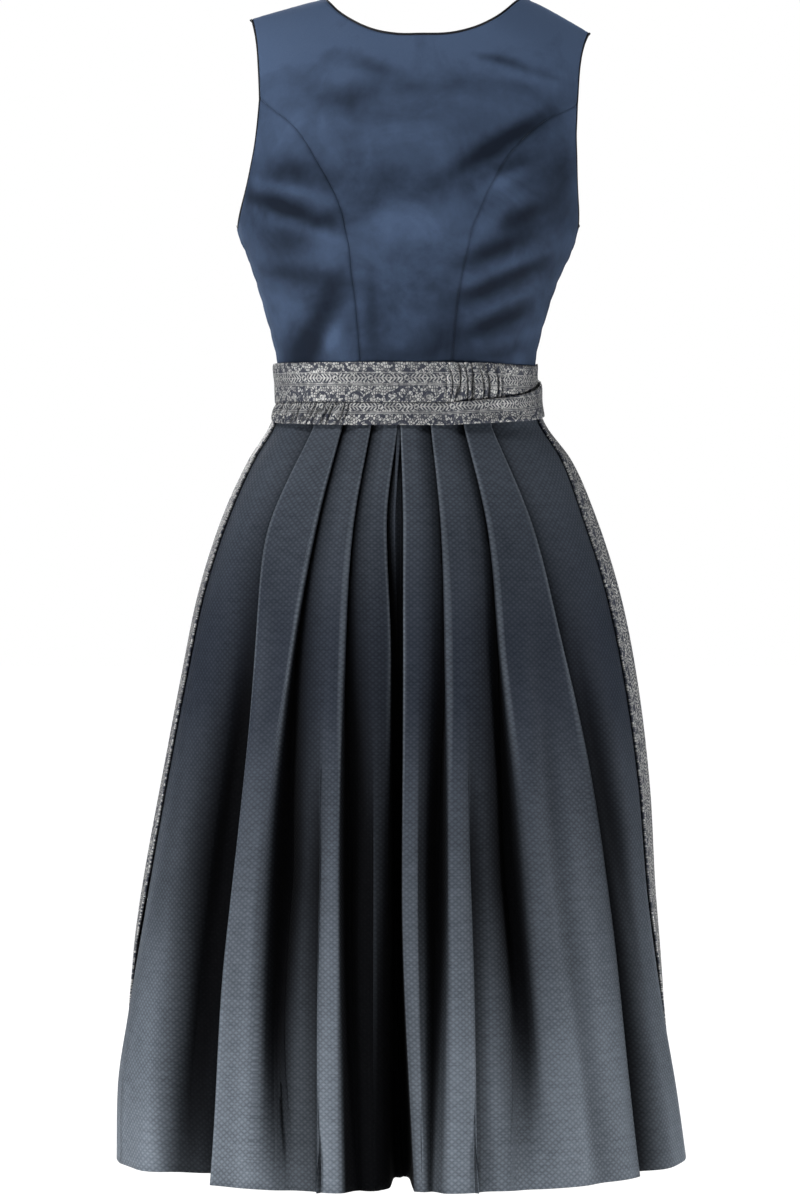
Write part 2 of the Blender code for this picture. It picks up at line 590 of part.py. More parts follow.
def skirt_row(z, crests, folds, start, end, between):
    """The line of one half of the skirt: crests are the ways of the crisp edges."""
    ring = Round(z)
    opened = float(smooth(PLEAT_OPENING.z, PLEAT_OPENING.open, z))
    grown = float(smooth(PLEAT_OPENING.z, PLEAT_OPENING.depth_share, z))
    stops = np.concatenate([[start], crests, [end]])
    lowered = [grown * between_levels(z, fold.low_knee, fold.low_hem) for fold in folds]
    ways, depths = [start], [0.0]
    for i, fold in enumerate(folds):
        before, after = stops[i + 1] - stops[i], stops[i + 2] - stops[i + 1]
        depth = max(grown * between_levels(z, fold.knee, fold.hem), 2 * PLEAT_LAYER)
        if fold.toward > 0:
            pleat = fold_points(fold, after, before, opened, depth)
        else:
            pleat = fold_points(fold, before, after, opened, depth)[::-1] * [-1, 1]
        fresh_way, fresh_depth = stops[i + 1] + pleat[:, 0], pleat[:, 1]
        ways += [*evenly(ways[-1], fresh_way[0], between), *fresh_way]
        depths += [*evenly(depths[-1], fresh_depth[0], between), *fresh_depth]
    ways += [*evenly(ways[-1], end, between), end]
    depths += [*evenly(depths[-1], 0.0, between), 0.0]
    depths = np.array(depths) + np.interp(ways, stops, [0, *lowered, 0])
    return ring.point(np.array(ways), -depths)


def evenly(start, end, count):
    """That many values between two, at even steps."""
    return np.linspace(start, end, count + 2)[1:-1]


def thickened(line, half):
    """The line moved out and in by half the cloth's thickness, square to it in its level plane."""
    step = unit(np.diff(line[:, :2], axis=0))
    before = np.concatenate([step[:1], step])
    after = np.concatenate([step, step[-1:]])
    middle = unit(before + after + 1e-9)
    normal = np.stack([middle[:, 1], -middle[:, 0]], axis=1)
    stretch = np.minimum(1 / np.maximum(np.sum(middle * after, axis=1), 0.5), 1.6)
    shift = np.zeros_like(line)
    shift[:, :2] = normal * (half * stretch)[:, None]
    return line + shift, line - shift


def add_skirt(cloth):
    back_folds = [SimpleNamespace(**{name: values[i] for name, values in vars(BACK_FOLDS).items()})
                  for i in range(len(BACK_FOLDS.toward))]
    edges = np.stack([BACK_FOLDS.x0, BACK_FOLDS.x1, BACK_FOLDS.x2, BACK_FOLDS.x3, BACK_FOLDS.x4])
    half = FRONT_FOLD_COUNT // 2
    front_folds = [SimpleNamespace(toward=1 if i < half else -1, tuck=FRONT_TUCK,
                                   knee=FRONT_KNEE_DEPTH, hem=FRONT_HEM_DEPTH,
                                   low_knee=0.0, low_hem=0.0)
                   for i in range(FRONT_FOLD_COUNT)]
    shares = (np.arange(FRONT_FOLD_COUNT) + 0.5) / FRONT_FOLD_COUNT
    walls = {"skirt_back": [], "skirt_front": []}
    for z in SKIRT_ROWS:
        ring = Round(z)
        xs = [smooth(FOLD_LEVELS[::-1], column[::-1], z) for column in edges.T]
        crests = ring.way_at([float(angle_of(x, z, 1)) for x in xs])
        start, end = ring.way_at([SKIRT_LEFT_SEAM, SKIRT_RIGHT_SEAM])
        back = skirt_row(z, crests, back_folds, start + PANEL_INSET, end - PANEL_INSET, 1)
        walls["skirt_back"].append(thickened(back, SKIRT_CLOTH / 2))
        begin = ring.way_at(SKIRT_RIGHT_SEAM - 2 * math.pi) + PANEL_INSET
        finish = start - PANEL_INSET
        crests = begin + shares * (finish - begin)
        front = skirt_row(z, crests, front_folds, begin, finish, 1)
        walls["skirt_front"].append(thickened(front, SKIRT_CLOTH / 2))
    for name, rows in walls.items():
        outer, inner = (np.array([row[k] for row in rows]) for k in (0, 1))
        add_wall(name, outer, inner, cloth)


def add_apron(brocade):
    """Gathered under the waistband; the small waves fade down and broad folds take over."""
    share = np.linspace(0, 1, APRON_COLUMNS + 1)
    inward = np.clip(np.minimum(share, 1 - share) / APRON_SIDE_SHARE, 0, 1)
    inward = inward * inward * (3 - 2 * inward)
    outer, inner = [], []
    for z in APRON_ROWS:
        ring = Round(z)
        here = SimpleNamespace(**{name: float(smooth(APRON.z, values, z))
                                  for name, values in vars(APRON).items()})
        ends = ring.way_at(np.radians([here.right_end, here.left_end]))
        way = ends[0] + share * (ends[1] - ends[0])
        waves = (here.gather * np.cos(2 * math.pi * APRON_GATHERS * share)
                 + here.fold * np.cos(2 * math.pi * APRON_FOLDS * share))
        side = np.where(share < 0.5, here.right_stand, here.left_stand)
        line = ring.point(way, inward * (here.stand + waves) + (1 - inward) * side)
        moved = thickened(line, BROCADE / 2)
        outer.append(moved[0])
        inner.append(moved[1])
    add_wall("apron", np.array(outer), np.array(inner), brocade)


def band_grid(angles, top, bottom, stand, ruche):
    """Inner and outer points of a strip round the waist between two heights."""
    shares = np.linspace(0, 1, TIE_STEPS + 1)
    outer, inner = [], []
    for share in shares:
        z = (1 - share) * top + share * bottom
        points = outline(angles, z)
        steps = np.linalg.norm(np.diff(points, axis=0), axis=1)
        way = np.concatenate([[0], np.cumsum(steps)])
        wave = 0.5 * (1 - np.cos(2 * math.pi * way / RUCHE_WAVE))
        slack = np.sin(math.pi * np.clip(0.15 + 0.7 * share, 0, 1))
        ahead = np.gradient(points[:, :2], axis=0)
        normal = unit(np.stack([ahead[:, 1], -ahead[:, 0], np.zeros(len(points))], axis=1))
        out = stand + BROCADE / 2 + ruche * RUCHE_HEIGHT * wave * slack
        moved = thickened(points + normal * out[:, None], BROCADE / 2)
        outer.append(moved[0])
        inner.append(moved[1])
    return np.array(outer), np.array(inner)


def tie_angles(table):
    """Angles along a tie in degrees: close together where it is ruched, wide where it is flat."""
    angles = [table.angle[0]]
    while angles[-1] < table.angle[-1]:
        ruched = np.interp(angles[-1] + 1, table.angle, table.ruche) > 0.05
        angles.append(min(angles[-1] + (RUCHED_STEP if ruched else FLAT_STEP), table.angle[-1]))
    return np.array(angles)


def add_ties(brocade):
    for name, table in (("tie_right", UPPER_TIE), ("tie_left", LOWER_TIE)):
        angles = tie_angles(table)
        top, bottom, stand, ruche = (smooth(table.angle, getattr(table, key), angles)
                                     for key in ("top", "bottom", "stand", "ruche"))
        outer, inner = band_grid(np.radians(angles), top, bottom, stand, ruche)
        add_wall(name, outer, inner, brocade)


def add_waistband(brocade):
    flat = np.ones_like(BAND_ANGLES)
    outer, inner = band_grid(np.radians(BAND_ANGLES), BAND_TOP_Z * flat, BAND_BOTTOM_Z * flat,
                             FIRST_LAYER * flat, 0 * flat)
    add_wall("apron_waistband", outer, inner, brocade)


def front_depth(x, z, stand):
    """The y of a point that far in front of the outline."""
    angle = angle_of(x, z, -1)
    return outline(angle, z)[..., 1] - stand


def add_knot(brocade):
    """The ties' knot: a rounded pad whose edges curve back to the waist."""
    shares = np.linspace(-1, 1, KNOT.cells + 1)
    bulge = np.sqrt(1 - KNOT.roundness * shares ** 2)
    outer, inner = [], []
    for v, swell in zip(shares, bulge):
        x = KNOT.x + KNOT.width / 2 * shares * (1 - KNOT.waist * v * v)
        z = KNOT.z - KNOT.height / 2 * v * (1 - KNOT.crown * shares ** 2)
        back = front_depth(x, z, SECOND_LAYER)
        front = back - KNOT.rim - (KNOT.depth - KNOT.rim) * bulge * swell
        inner.append(np.stack([x, back, z], axis=1))
        outer.append(np.stack([x, front, z], axis=1))
    add_wall("tie_knot", np.array(outer), np.array(inner), brocade)


def add_tails(brocade):
    """The two tie ends: each hangs clear of the apron's folds."""
    knot_bottom = KNOT.z - KNOT.height / 2 - SEAM_GAP
    for side, tail in TAILS.items():
        outer, inner = [], []
        for share in np.linspace(0, 1, TAIL_ROWS + 1):
            z = knot_bottom + share * (tail.end_z - knot_bottom)
            middle = tail.top_x + share ** 0.8 * (tail.end_x - tail.top_x)
            width = TAIL_WIDTH * (TAIL_NECK + (1 - TAIL_NECK) * min(1, share / TAIL_OPENS_BY))
            across = np.linspace(-0.5, 0.5, TAIL_COLUMNS + 1)
            x = middle + width * across
            stand = sum(float(smooth(APRON.z, getattr(APRON, key), z))
                        for key in ("gather", "fold", "stand"))
            curl = TAIL_CURL * np.cos(2 * math.pi * across) * (1 - 0.5 * share)
            y = front_depth(x, z, stand + BROCADE + TAIL_CLEARANCE)
            y = np.minimum(y, y[TAIL_COLUMNS // 2]) + curl
            inner.append(np.stack([x, y, np.full_like(x, z)], axis=1))
            outer.append(np.stack([x, y - BROCADE, np.full_like(x, z)], axis=1))
        add_wall(f"tie_end_{side}", np.array(outer), np.array(inner), brocade)


def main():
    clear_scene()
    velvet = paint("velvet", VELVET_BLUE, VELVET_ROUGHNESS)
    black = paint("piping", PIPING_BLACK, PIPING_ROUGHNESS)
    skirt_cloth = paint("jacquard", SKIRT_GREY, SKIRT_ROUGHNESS)
    brocade = paint("brocade", BROCADE_SILVER, BROCADE_ROUGHNESS)
    lines = bodice_lines()
    add_bodice(lines, velvet)
    add_all_piping(lines, black)
    add_skirt(skirt_cloth)
    add_apron(brocade)
    add_waistband(brocade)
    add_ties(brocade)
    add_knot(brocade)
    add_tails(brocade)


main()
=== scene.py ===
# %% [markdown]
# # A dirndl, seen from behind
#
# This notebook dresses a plain dirndl in cloth. The garment is a velvet bodice in seven panels, a
# pleated skirt, a gathered apron and the two ties that hold it. Every cell makes one piece or one
# finish. Lengths are metres, +Z is up, the front faces -Y and the wearer's left is +X.

# %% Load the frame
import math
from functools import partialmethod
from types import SimpleNamespace

import bpy
import numpy as np
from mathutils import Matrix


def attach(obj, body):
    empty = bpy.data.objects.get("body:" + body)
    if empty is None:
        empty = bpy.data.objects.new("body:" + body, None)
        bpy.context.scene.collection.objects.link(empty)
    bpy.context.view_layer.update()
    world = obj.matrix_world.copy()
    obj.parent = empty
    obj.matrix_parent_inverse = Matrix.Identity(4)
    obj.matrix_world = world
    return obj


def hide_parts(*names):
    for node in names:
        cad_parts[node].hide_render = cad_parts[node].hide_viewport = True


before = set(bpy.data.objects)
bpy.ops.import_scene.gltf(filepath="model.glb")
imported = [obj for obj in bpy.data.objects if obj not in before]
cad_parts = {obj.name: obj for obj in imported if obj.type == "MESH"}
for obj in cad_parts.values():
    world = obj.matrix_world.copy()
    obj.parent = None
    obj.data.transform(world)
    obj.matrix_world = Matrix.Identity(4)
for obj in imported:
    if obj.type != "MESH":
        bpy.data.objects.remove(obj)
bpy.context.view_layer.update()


# %% [markdown]
# ## The cut, in numbers
#
# The solids under the cloth follow a few tables: the garment's outline at each height, the seams of
# the bodice, the pleats, the apron and the ties. The cloth follows the same tables, only finer, so
# every piece lands on its solid. Angles run from the left side (0) over the back (90 degrees) and
# the right side (180) to the front (270, or -90).

# %% Sizes of the cloth and heights that drive the cut
VELVET = 0.0016
SKIRT_CLOTH = 0.0012
BROCADE = 0.0014
SEAM_GAP = 0.0003

WAIST_Z = -0.3625
HEM_Z = -1.063
UNDERARM_Z = -0.209
SHOULDER_ROUND = 0.050      # the cloth bends over the shoulder within this height

LEFT_SIDE = math.radians(8)
RIGHT_SIDE = math.radians(172)
SKIRT_LEFT_SEAM = math.radians(14)
SKIRT_RIGHT_SEAM = math.radians(170)


def columns(names, rows):
    """A table's rows as one array for each named column."""
    return SimpleNamespace(**dict(zip(names.split(), np.array(rows, float).T)))

# %% Outline of the garment at each height
FIGURE = columns("z left right back front squareness", [
    (-1.063, 0.282, -0.245, 0.229, 0.225, 2.10),
    (-1.000, 0.281, -0.236, 0.222, 0.218, 2.10),
    (-0.930, 0.271, -0.224, 0.210, 0.209, 2.10),
    (-0.830, 0.254, -0.210, 0.193, 0.196, 2.10),
    (-0.720, 0.235, -0.201, 0.177, 0.182, 2.10),
    (-0.620, 0.216, -0.187, 0.160, 0.167, 2.12),
    (-0.540, 0.199, -0.170, 0.142, 0.152, 2.15),
    (-0.470, 0.176, -0.148, 0.120, 0.134, 2.20),
    (-0.420, 0.153, -0.129, 0.100, 0.118, 2.25),
    (-0.386, 0.133, -0.108, 0.082, 0.105, 2.30),
    (WAIST_Z, 0.129, -0.103, 0.078, 0.102, 2.30),
    (-0.332, 0.131, -0.104, 0.079, 0.106, 2.30),
    (-0.290, 0.141, -0.1135, 0.086, 0.118, 2.30),
    (-0.250, 0.153, -0.1275, 0.098, 0.130, 2.30),
    (-0.230, 0.160, -0.137, 0.103, 0.128, 2.30),
    (UNDERARM_Z, 0.168, -0.1435, 0.106, 0.122, 2.30),
    (-0.160, 0.165, -0.149, 0.104, 0.104, 2.40),
    (-0.120, 0.162, -0.152, 0.095, 0.086, 2.40),
    (-0.050, 0.161, -0.154, 0.066, 0.056, 2.40),
    (0.030, 0.161, -0.156, 0.050, 0.044, 2.40),
])

# %% Shoulders, neck and the seams of the bodice, seen flat as (x, z)
SHOULDER_LINE = columns("x z", [
    (-0.170, -0.039), (-0.1532, -0.0295), (-0.0997, -0.0005), (-0.050, 0.018), (0.000, 0.023),
    (0.050, 0.013), (0.0932, 0.0), (0.155, -0.0175), (0.172, -0.023),
])
SHOULDER_TIP = {"left": (0.155, -0.0175), "right": (-0.1532, -0.0295)}
NECK_POINT = {"left": (0.0932, 0.0), "right": (-0.0997, -0.0005)}
BACK_NECK = [
    NECK_POINT["left"], (0.078, -0.013), (0.058, -0.027), (0.033, -0.0355), (0.000, -0.037),
    (-0.030, -0.0355), (-0.055, -0.028), (-0.076, -0.015), NECK_POINT["right"],
]
FRONT_NECK = {
    "left": [NECK_POINT["left"], (0.086, -0.040), (0.082, -0.085), (0.072, -0.126),
             (0.045, -0.159), (0.004, -0.170)],
    "right": [NECK_POINT["right"], (-0.089, -0.041), (-0.083, -0.086), (-0.071, -0.127),
              (-0.040, -0.159), (0.004, -0.170)],
}
CENTRE_FRONT = [(0.004, -0.170), (0.009, -0.260), (0.013, WAIST_Z)]
BACK_ARMHOLE_UPPER = {
    "left": [SHOULDER_TIP["left"], (0.1487, -0.039), (0.1463, -0.068), (0.1452, -0.093)],
    "right": [SHOULDER_TIP["right"], (-0.147, -0.042), (-0.143, -0.061), (-0.1400, -0.098)],
}
BACK_ARMHOLE_LOWER = {
    "left": [(0.1452, -0.093), (0.1475, -0.119), (0.1515, -0.146), (0.1585, -0.177)],
    "right": [(-0.1400, -0.098), (-0.1390, -0.120), (-0.1395, -0.146), (-0.1410, -0.180)],
}
BACK_PRINCESS = {
    "left": [(0.1452, -0.093), (0.116, -0.119), (0.093, -0.154), (0.076, -0.186),
             (0.067, -0.219), (0.063, -0.250), (0.059, -0.282), (0.055, -0.332),
             (0.053, WAIST_Z)],
    "right": [(-0.1400, -0.098), (-0.114, -0.113), (-0.083, -0.141), (-0.063, -0.173),
              (-0.052, -0.198), (-0.044, -0.218), (-0.036, -0.255), (-0.031, -0.290),
              (-0.028, -0.332), (-0.027, WAIST_Z)],
}
FRONT_ARMHOLE_UPPER = {
    "left": [SHOULDER_TIP["left"], (0.146, -0.045), (0.139, -0.080), (0.1375, -0.108)],
    "right": [SHOULDER_TIP["right"], (-0.144, -0.052), (-0.136, -0.085), (-0.1335, -0.110)],
}
FRONT_ARMHOLE_LOWER = {
    "left": [(0.1375, -0.108), (0.140, -0.140), (0.148, -0.172), (0.159, -0.195)],
    "right": [(-0.1335, -0.110), (-0.1345, -0.140), (-0.138, -0.172), (-0.1415, -0.195)],
}
FRONT_PRINCESS = {
    "left": [(0.1375, -0.108), (0.119, -0.150), (0.103, -0.195), (0.092, -0.235),
             (0.080, -0.275), (0.066, -0.320), (0.058, WAIST_Z)],
    "right": [(-0.1335, -0.110), (-0.110, -0.150), (-0.090, -0.195), (-0.077, -0.235),
              (-0.062, -0.275), (-0.044, -0.320), (-0.035, WAIST_Z)],
}

# %% Pleats of the skirt
# toward +1 has its crisp edge on the right, -1 on the left. x0 to x4 are that edge at the fold
# levels, tuck is how far the cloth goes under at the waist, knee and hem are how deep the valley
# beside it is there, and low_knee and low_hem how far the edge itself stands back. dim_knee and
# dim_hem say how much darker (or lighter, below 0) the cloth before the edge is than its shape
# alone makes it, because of the shadow or the light of its neighbours. roll is how far the edge
# has lost its press near the hem, from 0 crisp to 1 a soft round.
KNEE_Z = -0.800
FOLD_LEVELS = np.array([-0.390, -0.480, -0.600, KNEE_Z, HEM_Z])
BACK_FOLDS = columns("toward x0 x1 x2 x3 x4 tuck knee hem low_knee low_hem dim_knee dim_hem roll", [
    (-1, 0.097, 0.137, 0.149, 0.169, 0.188, 0.009, 0.045, 0.068, 0, 0, 0.05, -0.22, 0),
    (+1, 0.072, 0.095, 0.117, 0.138, 0.146, 0.009, 0.034, 0.008, 0, 0, 0, 0, 0.9),
    (+1, 0.046, 0.062, 0.070, 0.074, 0.071, 0.010, 0.026, 0.012, 0, 0, 0, -0.05, 0),
    (+1, 0.022, 0.032, 0.028, 0.028, 0.030, 0.010, 0.052, 0.070, 0.008, 0.024, 0.16, 0.36, 0.5),
    (-1, 0.0185, 0.016, 0.016, 0.017, 0.006, 0.010, 0.055, 0.078, 0.003, 0.014, 0, 0, 0),
    (-1, -0.009, -0.018, -0.022, -0.024, -0.021, 0.010, 0.022, 0.008, 0, 0, 0, -0.15, 0),
    (-1, -0.039, -0.060, -0.072, -0.095, -0.118, 0.009, 0.030, 0.008, 0, 0, 0, -0.12, 1),
    (+1, -0.063, -0.100, -0.128, -0.169, -0.199, 0.009, 0.038, 0.022, 0, 0, 0, 0, 1),
])
FRONT_FOLD_COUNT = 10
FRONT_TUCK = 0.010
FRONT_KNEE_DEPTH = 0.022
FRONT_HEM_DEPTH = 0.026
PLEAT_LAYER = 0.0026
PLEAT_OPENING = columns("z open depth_share", [
    (HEM_Z, 1.00, 1.0), (KNEE_Z, 1.00, 1.0), (-0.690, 0.80, 0.85), (-0.600, 0.50, 0.62),
    (-0.530, 0.30, 0.40), (-0.470, 0.14, 0.22), (-0.390, 0.00, 0.00), (-0.350, 0.00, 0.00),
])
SHUT_PLEAT = np.array([(-1.15, 0.15), (0, 0), (0, 1), (-1, 1), (-1, 2), (0, 2), (0, 1.3), (0, 0.5)])
OPEN_PLEAT = np.array([(-0.30, 0.02), (0, 0), (0.05, 0.45), (0.09, 0.90), (0.22, 1), (0.34, 0.66),
                       (0.50, 0.33), (0.66, 0.13)])
# Two pleats that face each other share one valley, which stays deep from wall to wall.
FACING_PLEAT = np.array([(-0.30, 0.02), (0, 0), (0.05, 0.45), (0.09, 0.90), (0.20, 1), (0.28, 1),
                         (0.36, 1), (0.44, 1)])
VALLEY_MOUTH = 0.002

# %% Apron, waistband, ties and knot
APRON_TOP_Z = -0.3692
APRON_HEM_Z = -1.028
APRON_GATHERS = 16
APRON_FOLDS = 7
APRON = columns("z gather fold stand left_end left_stand right_end right_stand", [
    (-1.028, 0.0000, 0.0060, 0.0100, -22, 0.0060, -160, 0.0060),
    (-0.930, 0.0003, 0.0055, 0.0095, -12, 0.0055, -171, 0.0055),
    (-0.820, 0.0006, 0.0045, 0.0088, 1, 0.0055, -182, 0.0070),
    (-0.700, 0.0010, 0.0034, 0.0080, 4, 0.0042, -184, 0.0100),
    (-0.580, 0.0015, 0.0022, 0.0073, 4, 0.0038, -184, 0.0125),
    (-0.490, 0.0018, 0.0012, 0.0066, 4, 0.0036, -184, 0.0130),
    (-0.430, 0.0018, 0.0004, 0.0056, 3, 0.0036, -183, 0.0100),
    (-0.388, 0.0012, 0.0000, 0.0042, 2, 0.0036, -182, 0.0045),
    (-0.369, 0.0008, 0.0000, 0.0036, 2, 0.0036, -182, 0.0036),
])
APRON_SIDE_SHARE = 0.12

FIRST_LAYER = 0.0027
SECOND_LAYER = 0.0047
THIRD_LAYER = 0.0072
BAND_TOP_Z = -0.3325
BAND_BOTTOM_Z = -0.3688
RUCHE_HEIGHT = 0.0036
RUCHE_WAVE = 0.0068
UPPER_TIE = columns("angle top bottom stand ruche", [
    (-82, -0.338, -0.368, SECOND_LAYER, 0),
    (-30, -0.3335, -0.3690, SECOND_LAYER, 0),
    (5, -0.3325, -0.3688, SECOND_LAYER, 0),
    (22, -0.3325, -0.3688, FIRST_LAYER, 0),
    (100, -0.3325, -0.3688, FIRST_LAYER, 0),
    (109, -0.3330, -0.3688, FIRST_LAYER, 1),
    (128, -0.3335, -0.3688, FIRST_LAYER, 1),
    (140, -0.3345, -0.3688, FIRST_LAYER, 0),
    (175, -0.3350, -0.3688, FIRST_LAYER, 0),
])
LOWER_TIE = columns("angle top bottom stand ruche", [
    (7, -0.3700, -0.3855, FIRST_LAYER, 1),
    (20, -0.3694, -0.3870, FIRST_LAYER, 1),
    (64, -0.3694, -0.3890, FIRST_LAYER, 1),
    (72, -0.3694, -0.3895, FIRST_LAYER, 0),
    (104, -0.3694, -0.3895, FIRST_LAYER, 0),
    (112, -0.3680, -0.3885, THIRD_LAYER, 0),
    (150, -0.3607, -0.3850, THIRD_LAYER, 0),
    (180, -0.3500, -0.3800, THIRD_LAYER, 0),
    (220, -0.3400, -0.3735, THIRD_LAYER, 0),
    (262, -0.3380, -0.3700, THIRD_LAYER, 0),
])
KNOT = SimpleNamespace(width=0.034, height=0.038, depth=0.013, x=0.013, z=-0.3485, rim=0.003,
                       waist=0.18, crown=0.10, roundness=0.92)
TAIL_WIDTH = 0.036
TAIL_NECK = 0.45
TAIL_OPENS_BY = 0.25
TAIL_CURL = 0.0015
TAIL_CLEARANCE = 0.0020
TAILS = {
    "left": SimpleNamespace(top_x=0.023, end_x=0.052, end_z=-0.700),
    "right": SimpleNamespace(top_x=0.003, end_x=-0.030, end_z=-0.660),
}
print("tables:", len(FIGURE.z), "heights of the outline,", len(BACK_FOLDS.x0), "back pleats")

# %% [markdown]
# ## From tables to smooth surfaces
#
# A table gives a size at a few heights only. A cubic curve through its values, which never swings
# past them, gives the sizes between. The outline is a squared ellipse at each height, and its four
# edges come from the table.

# %% Smooth curves and the outline
def smooth(knots, values, at):
    """A smooth curve through the values that never swings past them (cubic Hermite)."""
    step = np.diff(knots)
    rise = np.diff(values) / step
    inner = 0.5 * (rise[:-1] + rise[1:])
    limit = 3 * np.minimum(np.abs(rise[:-1]), np.abs(rise[1:]))
    inner = np.where(rise[:-1] * rise[1:] <= 0, 0, np.clip(inner, -limit, limit))
    slope = np.concatenate([rise[:1], inner, rise[-1:]])
    at = np.clip(at, knots[0], knots[-1])
    i = np.clip(np.searchsorted(knots, at, side="right") - 1, 0, len(step) - 1)
    t = (at - knots[i]) / step[i]
    start = (1 + 2 * t) * (1 - t) ** 2 * values[i] + t * (1 - t) ** 2 * step[i] * slope[i]
    end = t * t * (3 - 2 * t) * values[i + 1] + t * t * (t - 1) * step[i] * slope[i + 1]
    return start + end


def eased(share):
    """0 to 1 with a soft start and a soft end."""
    share = np.clip(share, 0, 1)
    return share * share * (3 - 2 * share)


def signed_power(value, power):
    return np.sign(value) * np.abs(value) ** power


def unit(vectors):
    return vectors / np.maximum(np.linalg.norm(vectors, axis=-1, keepdims=True), 1e-12)


def way_along(points):
    """The way from a line's first point to each of its points."""
    steps = np.linalg.norm(np.diff(points, axis=0), axis=1)
    return np.concatenate([[0], np.cumsum(steps)])


def outline(angle, z):
    """Point of the garment's outline at an angle and height, before the shoulders close it."""
    angle, z = np.broadcast_arrays(np.asarray(angle, float), np.asarray(z, float))
    left, right = smooth(FIGURE.z, FIGURE.left, z), smooth(FIGURE.z, FIGURE.right, z)
    power = 2 / smooth(FIGURE.z, FIGURE.squareness, z)
    back, front = smooth(FIGURE.z, FIGURE.back, z), smooth(FIGURE.z, FIGURE.front, z)
    x = (left + right) / 2 + (left - right) / 2 * signed_power(np.cos(angle), power)
    y = np.where(np.sin(angle) > 0, back, front) * signed_power(np.sin(angle), power)
    return np.stack([x, y, z], axis=-1)


def angle_of(x, z, face):
    """Angle at which the outline has this x; face is +1 on the back and -1 on the front."""
    left, right = smooth(FIGURE.z, FIGURE.left, z), smooth(FIGURE.z, FIGURE.right, z)
    share = np.clip((x - (left + right) / 2) / ((left - right) / 2), -1, 1)
    return face * np.arccos(signed_power(share, smooth(FIGURE.z, FIGURE.squareness, z) / 2))

# %% [markdown]
# The bodice closes over the shoulders, so a height can't say where a point of it is. A place on
# it is an angle and a fall: the fall is the way down from the shoulder line, measured on the cloth.

# %% Places on the bodice
QUARTER = SHOULDER_ROUND * math.pi / 2


def fall_of(x, z):
    drop = max(smooth(SHOULDER_LINE.x, SHOULDER_LINE.z, x) - z, 0)
    if drop < SHOULDER_ROUND:
        return SHOULDER_ROUND * math.acos(1 - drop / SHOULDER_ROUND)
    return QUARTER + drop - SHOULDER_ROUND


def bodice_point(angle, fall):
    over = np.minimum(fall, QUARTER) / SHOULDER_ROUND
    drop = SHOULDER_ROUND * (1 - np.cos(over)) + np.maximum(fall - QUARTER, 0)
    z = -drop
    for _ in range(6):
        x = outline(angle, z)[..., 0]
        z = smooth(SHOULDER_LINE.x, SHOULDER_LINE.z, x) - drop
    place = outline(angle, z)
    place[..., 1] *= np.sin(over)
    return place


def bodice_normal(angle, fall):
    nudge = 1e-4
    lower = np.maximum(fall - nudge, 0)
    down = bodice_point(angle, fall + nudge) - bodice_point(angle, lower)
    across = bodice_point(angle + nudge, np.maximum(fall, nudge)) - bodice_point(
        angle - nudge, np.maximum(fall, nudge))
    return unit(np.cross(down, across))


def places(rows, face):
    """Table rows (x, z) as (angle, fall)."""
    return [(float(angle_of(x, z, face)), fall_of(x, z)) for x, z in rows]


def side_place(side, face, z):
    """A place on the side seam, with the angle that suits the back or the front."""
    angle = LEFT_SIDE if side == "left" else RIGHT_SIDE
    if side == "right" and face < 0:
        angle -= 2 * math.pi
    x = float(outline(angle, z)[0])
    return angle, fall_of(x, z)


def along(route, cells):
    """Evenly spaced places on a smooth line through the route's places, ends included."""
    route = np.array(route)
    knots = way_along(bodice_point(*route.T))
    fine = np.linspace(0, knots[-1], 60 * len(route))
    line = np.stack([smooth(knots, route[:, 0], fine), smooth(knots, route[:, 1], fine)], axis=1)
    length = way_along(bodice_point(*line.T))
    even = np.linspace(0, length[-1], cells + 1)
    return np.stack([np.interp(even, length, line[:, k]) for k in (0, 1)], axis=1)


def joined(*runs):
    """Runs that follow each other, with each shared end kept once."""
    return np.concatenate([runs[0]] + [run[1:] for run in runs[1:]])


def filled(top, bottom, left, right):
    """Places all over a panel between its four edges (a Coons patch)."""
    s = np.linspace(0, 1, len(top))[None, :, None]
    t = np.linspace(0, 1, len(left))[:, None, None]
    across = (1 - s) * left[:, None] + s * right[:, None]
    down = (1 - t) * top[None] + t * bottom[None]
    corners = (1 - t) * ((1 - s) * top[0] + s * top[-1]) + t * ((1 - s) * bottom[0] + s * bottom[-1])
    return across + down - corners


print("neck at the back:", bodice_point(*np.array(places(BACK_NECK[4:5], 1)[0])).round(4))

# %% [markdown]
# The skirt and the apron are described row by row: how far along the outline a point is, and how
# far outside or inside it. A ring of the outline, measured along its way, turns both into a point.

# %% Rings of the outline
class Round:
    """The outline at one height, measured along it from the left side over the back."""

    def __init__(self, z):
        self.angles = np.linspace(-2 * math.pi, 2 * math.pi, 2881)
        self.line = outline(self.angles, z)
        length = way_along(self.line)
        self.way = length - np.interp(0.0, self.angles, length)

    def way_at(self, angle):
        return np.interp(angle, self.angles, self.way)

    def point(self, way, out):
        here = np.stack([np.interp(way, self.way, self.line[:, k]) for k in range(3)], axis=-1)
        reach = 0.002
        ahead = [np.interp(way + reach, self.way, self.line[:, k])
                 - np.interp(way - reach, self.way, self.line[:, k]) for k in (0, 1)]
        normal = unit(np.stack([ahead[1], -ahead[0], np.zeros_like(ahead[0])], axis=-1))
        return here + normal * np.asarray(out)[..., None]


print("round the waist:", round(float(Round(WAIST_Z).way_at(2 * math.pi)), 3), "m")

# %% [markdown]
# Cloth is a thin closed shell. A grid of points gives its outer face, and a second grid, one
# thickness inside the first, gives the lining side. Four narrow strips close the edges. The UV map
# is in metres on the cut cloth, so a weave has its real scale everywhere.

# %% Directions, lengths and volume
def grid_normals(points):
    """Outward normals of a grid whose rows run down and whose columns run from left to right."""
    down = np.gradient(points, axis=0)
    across = np.gradient(points, axis=1)
    return unit(np.cross(down, across))


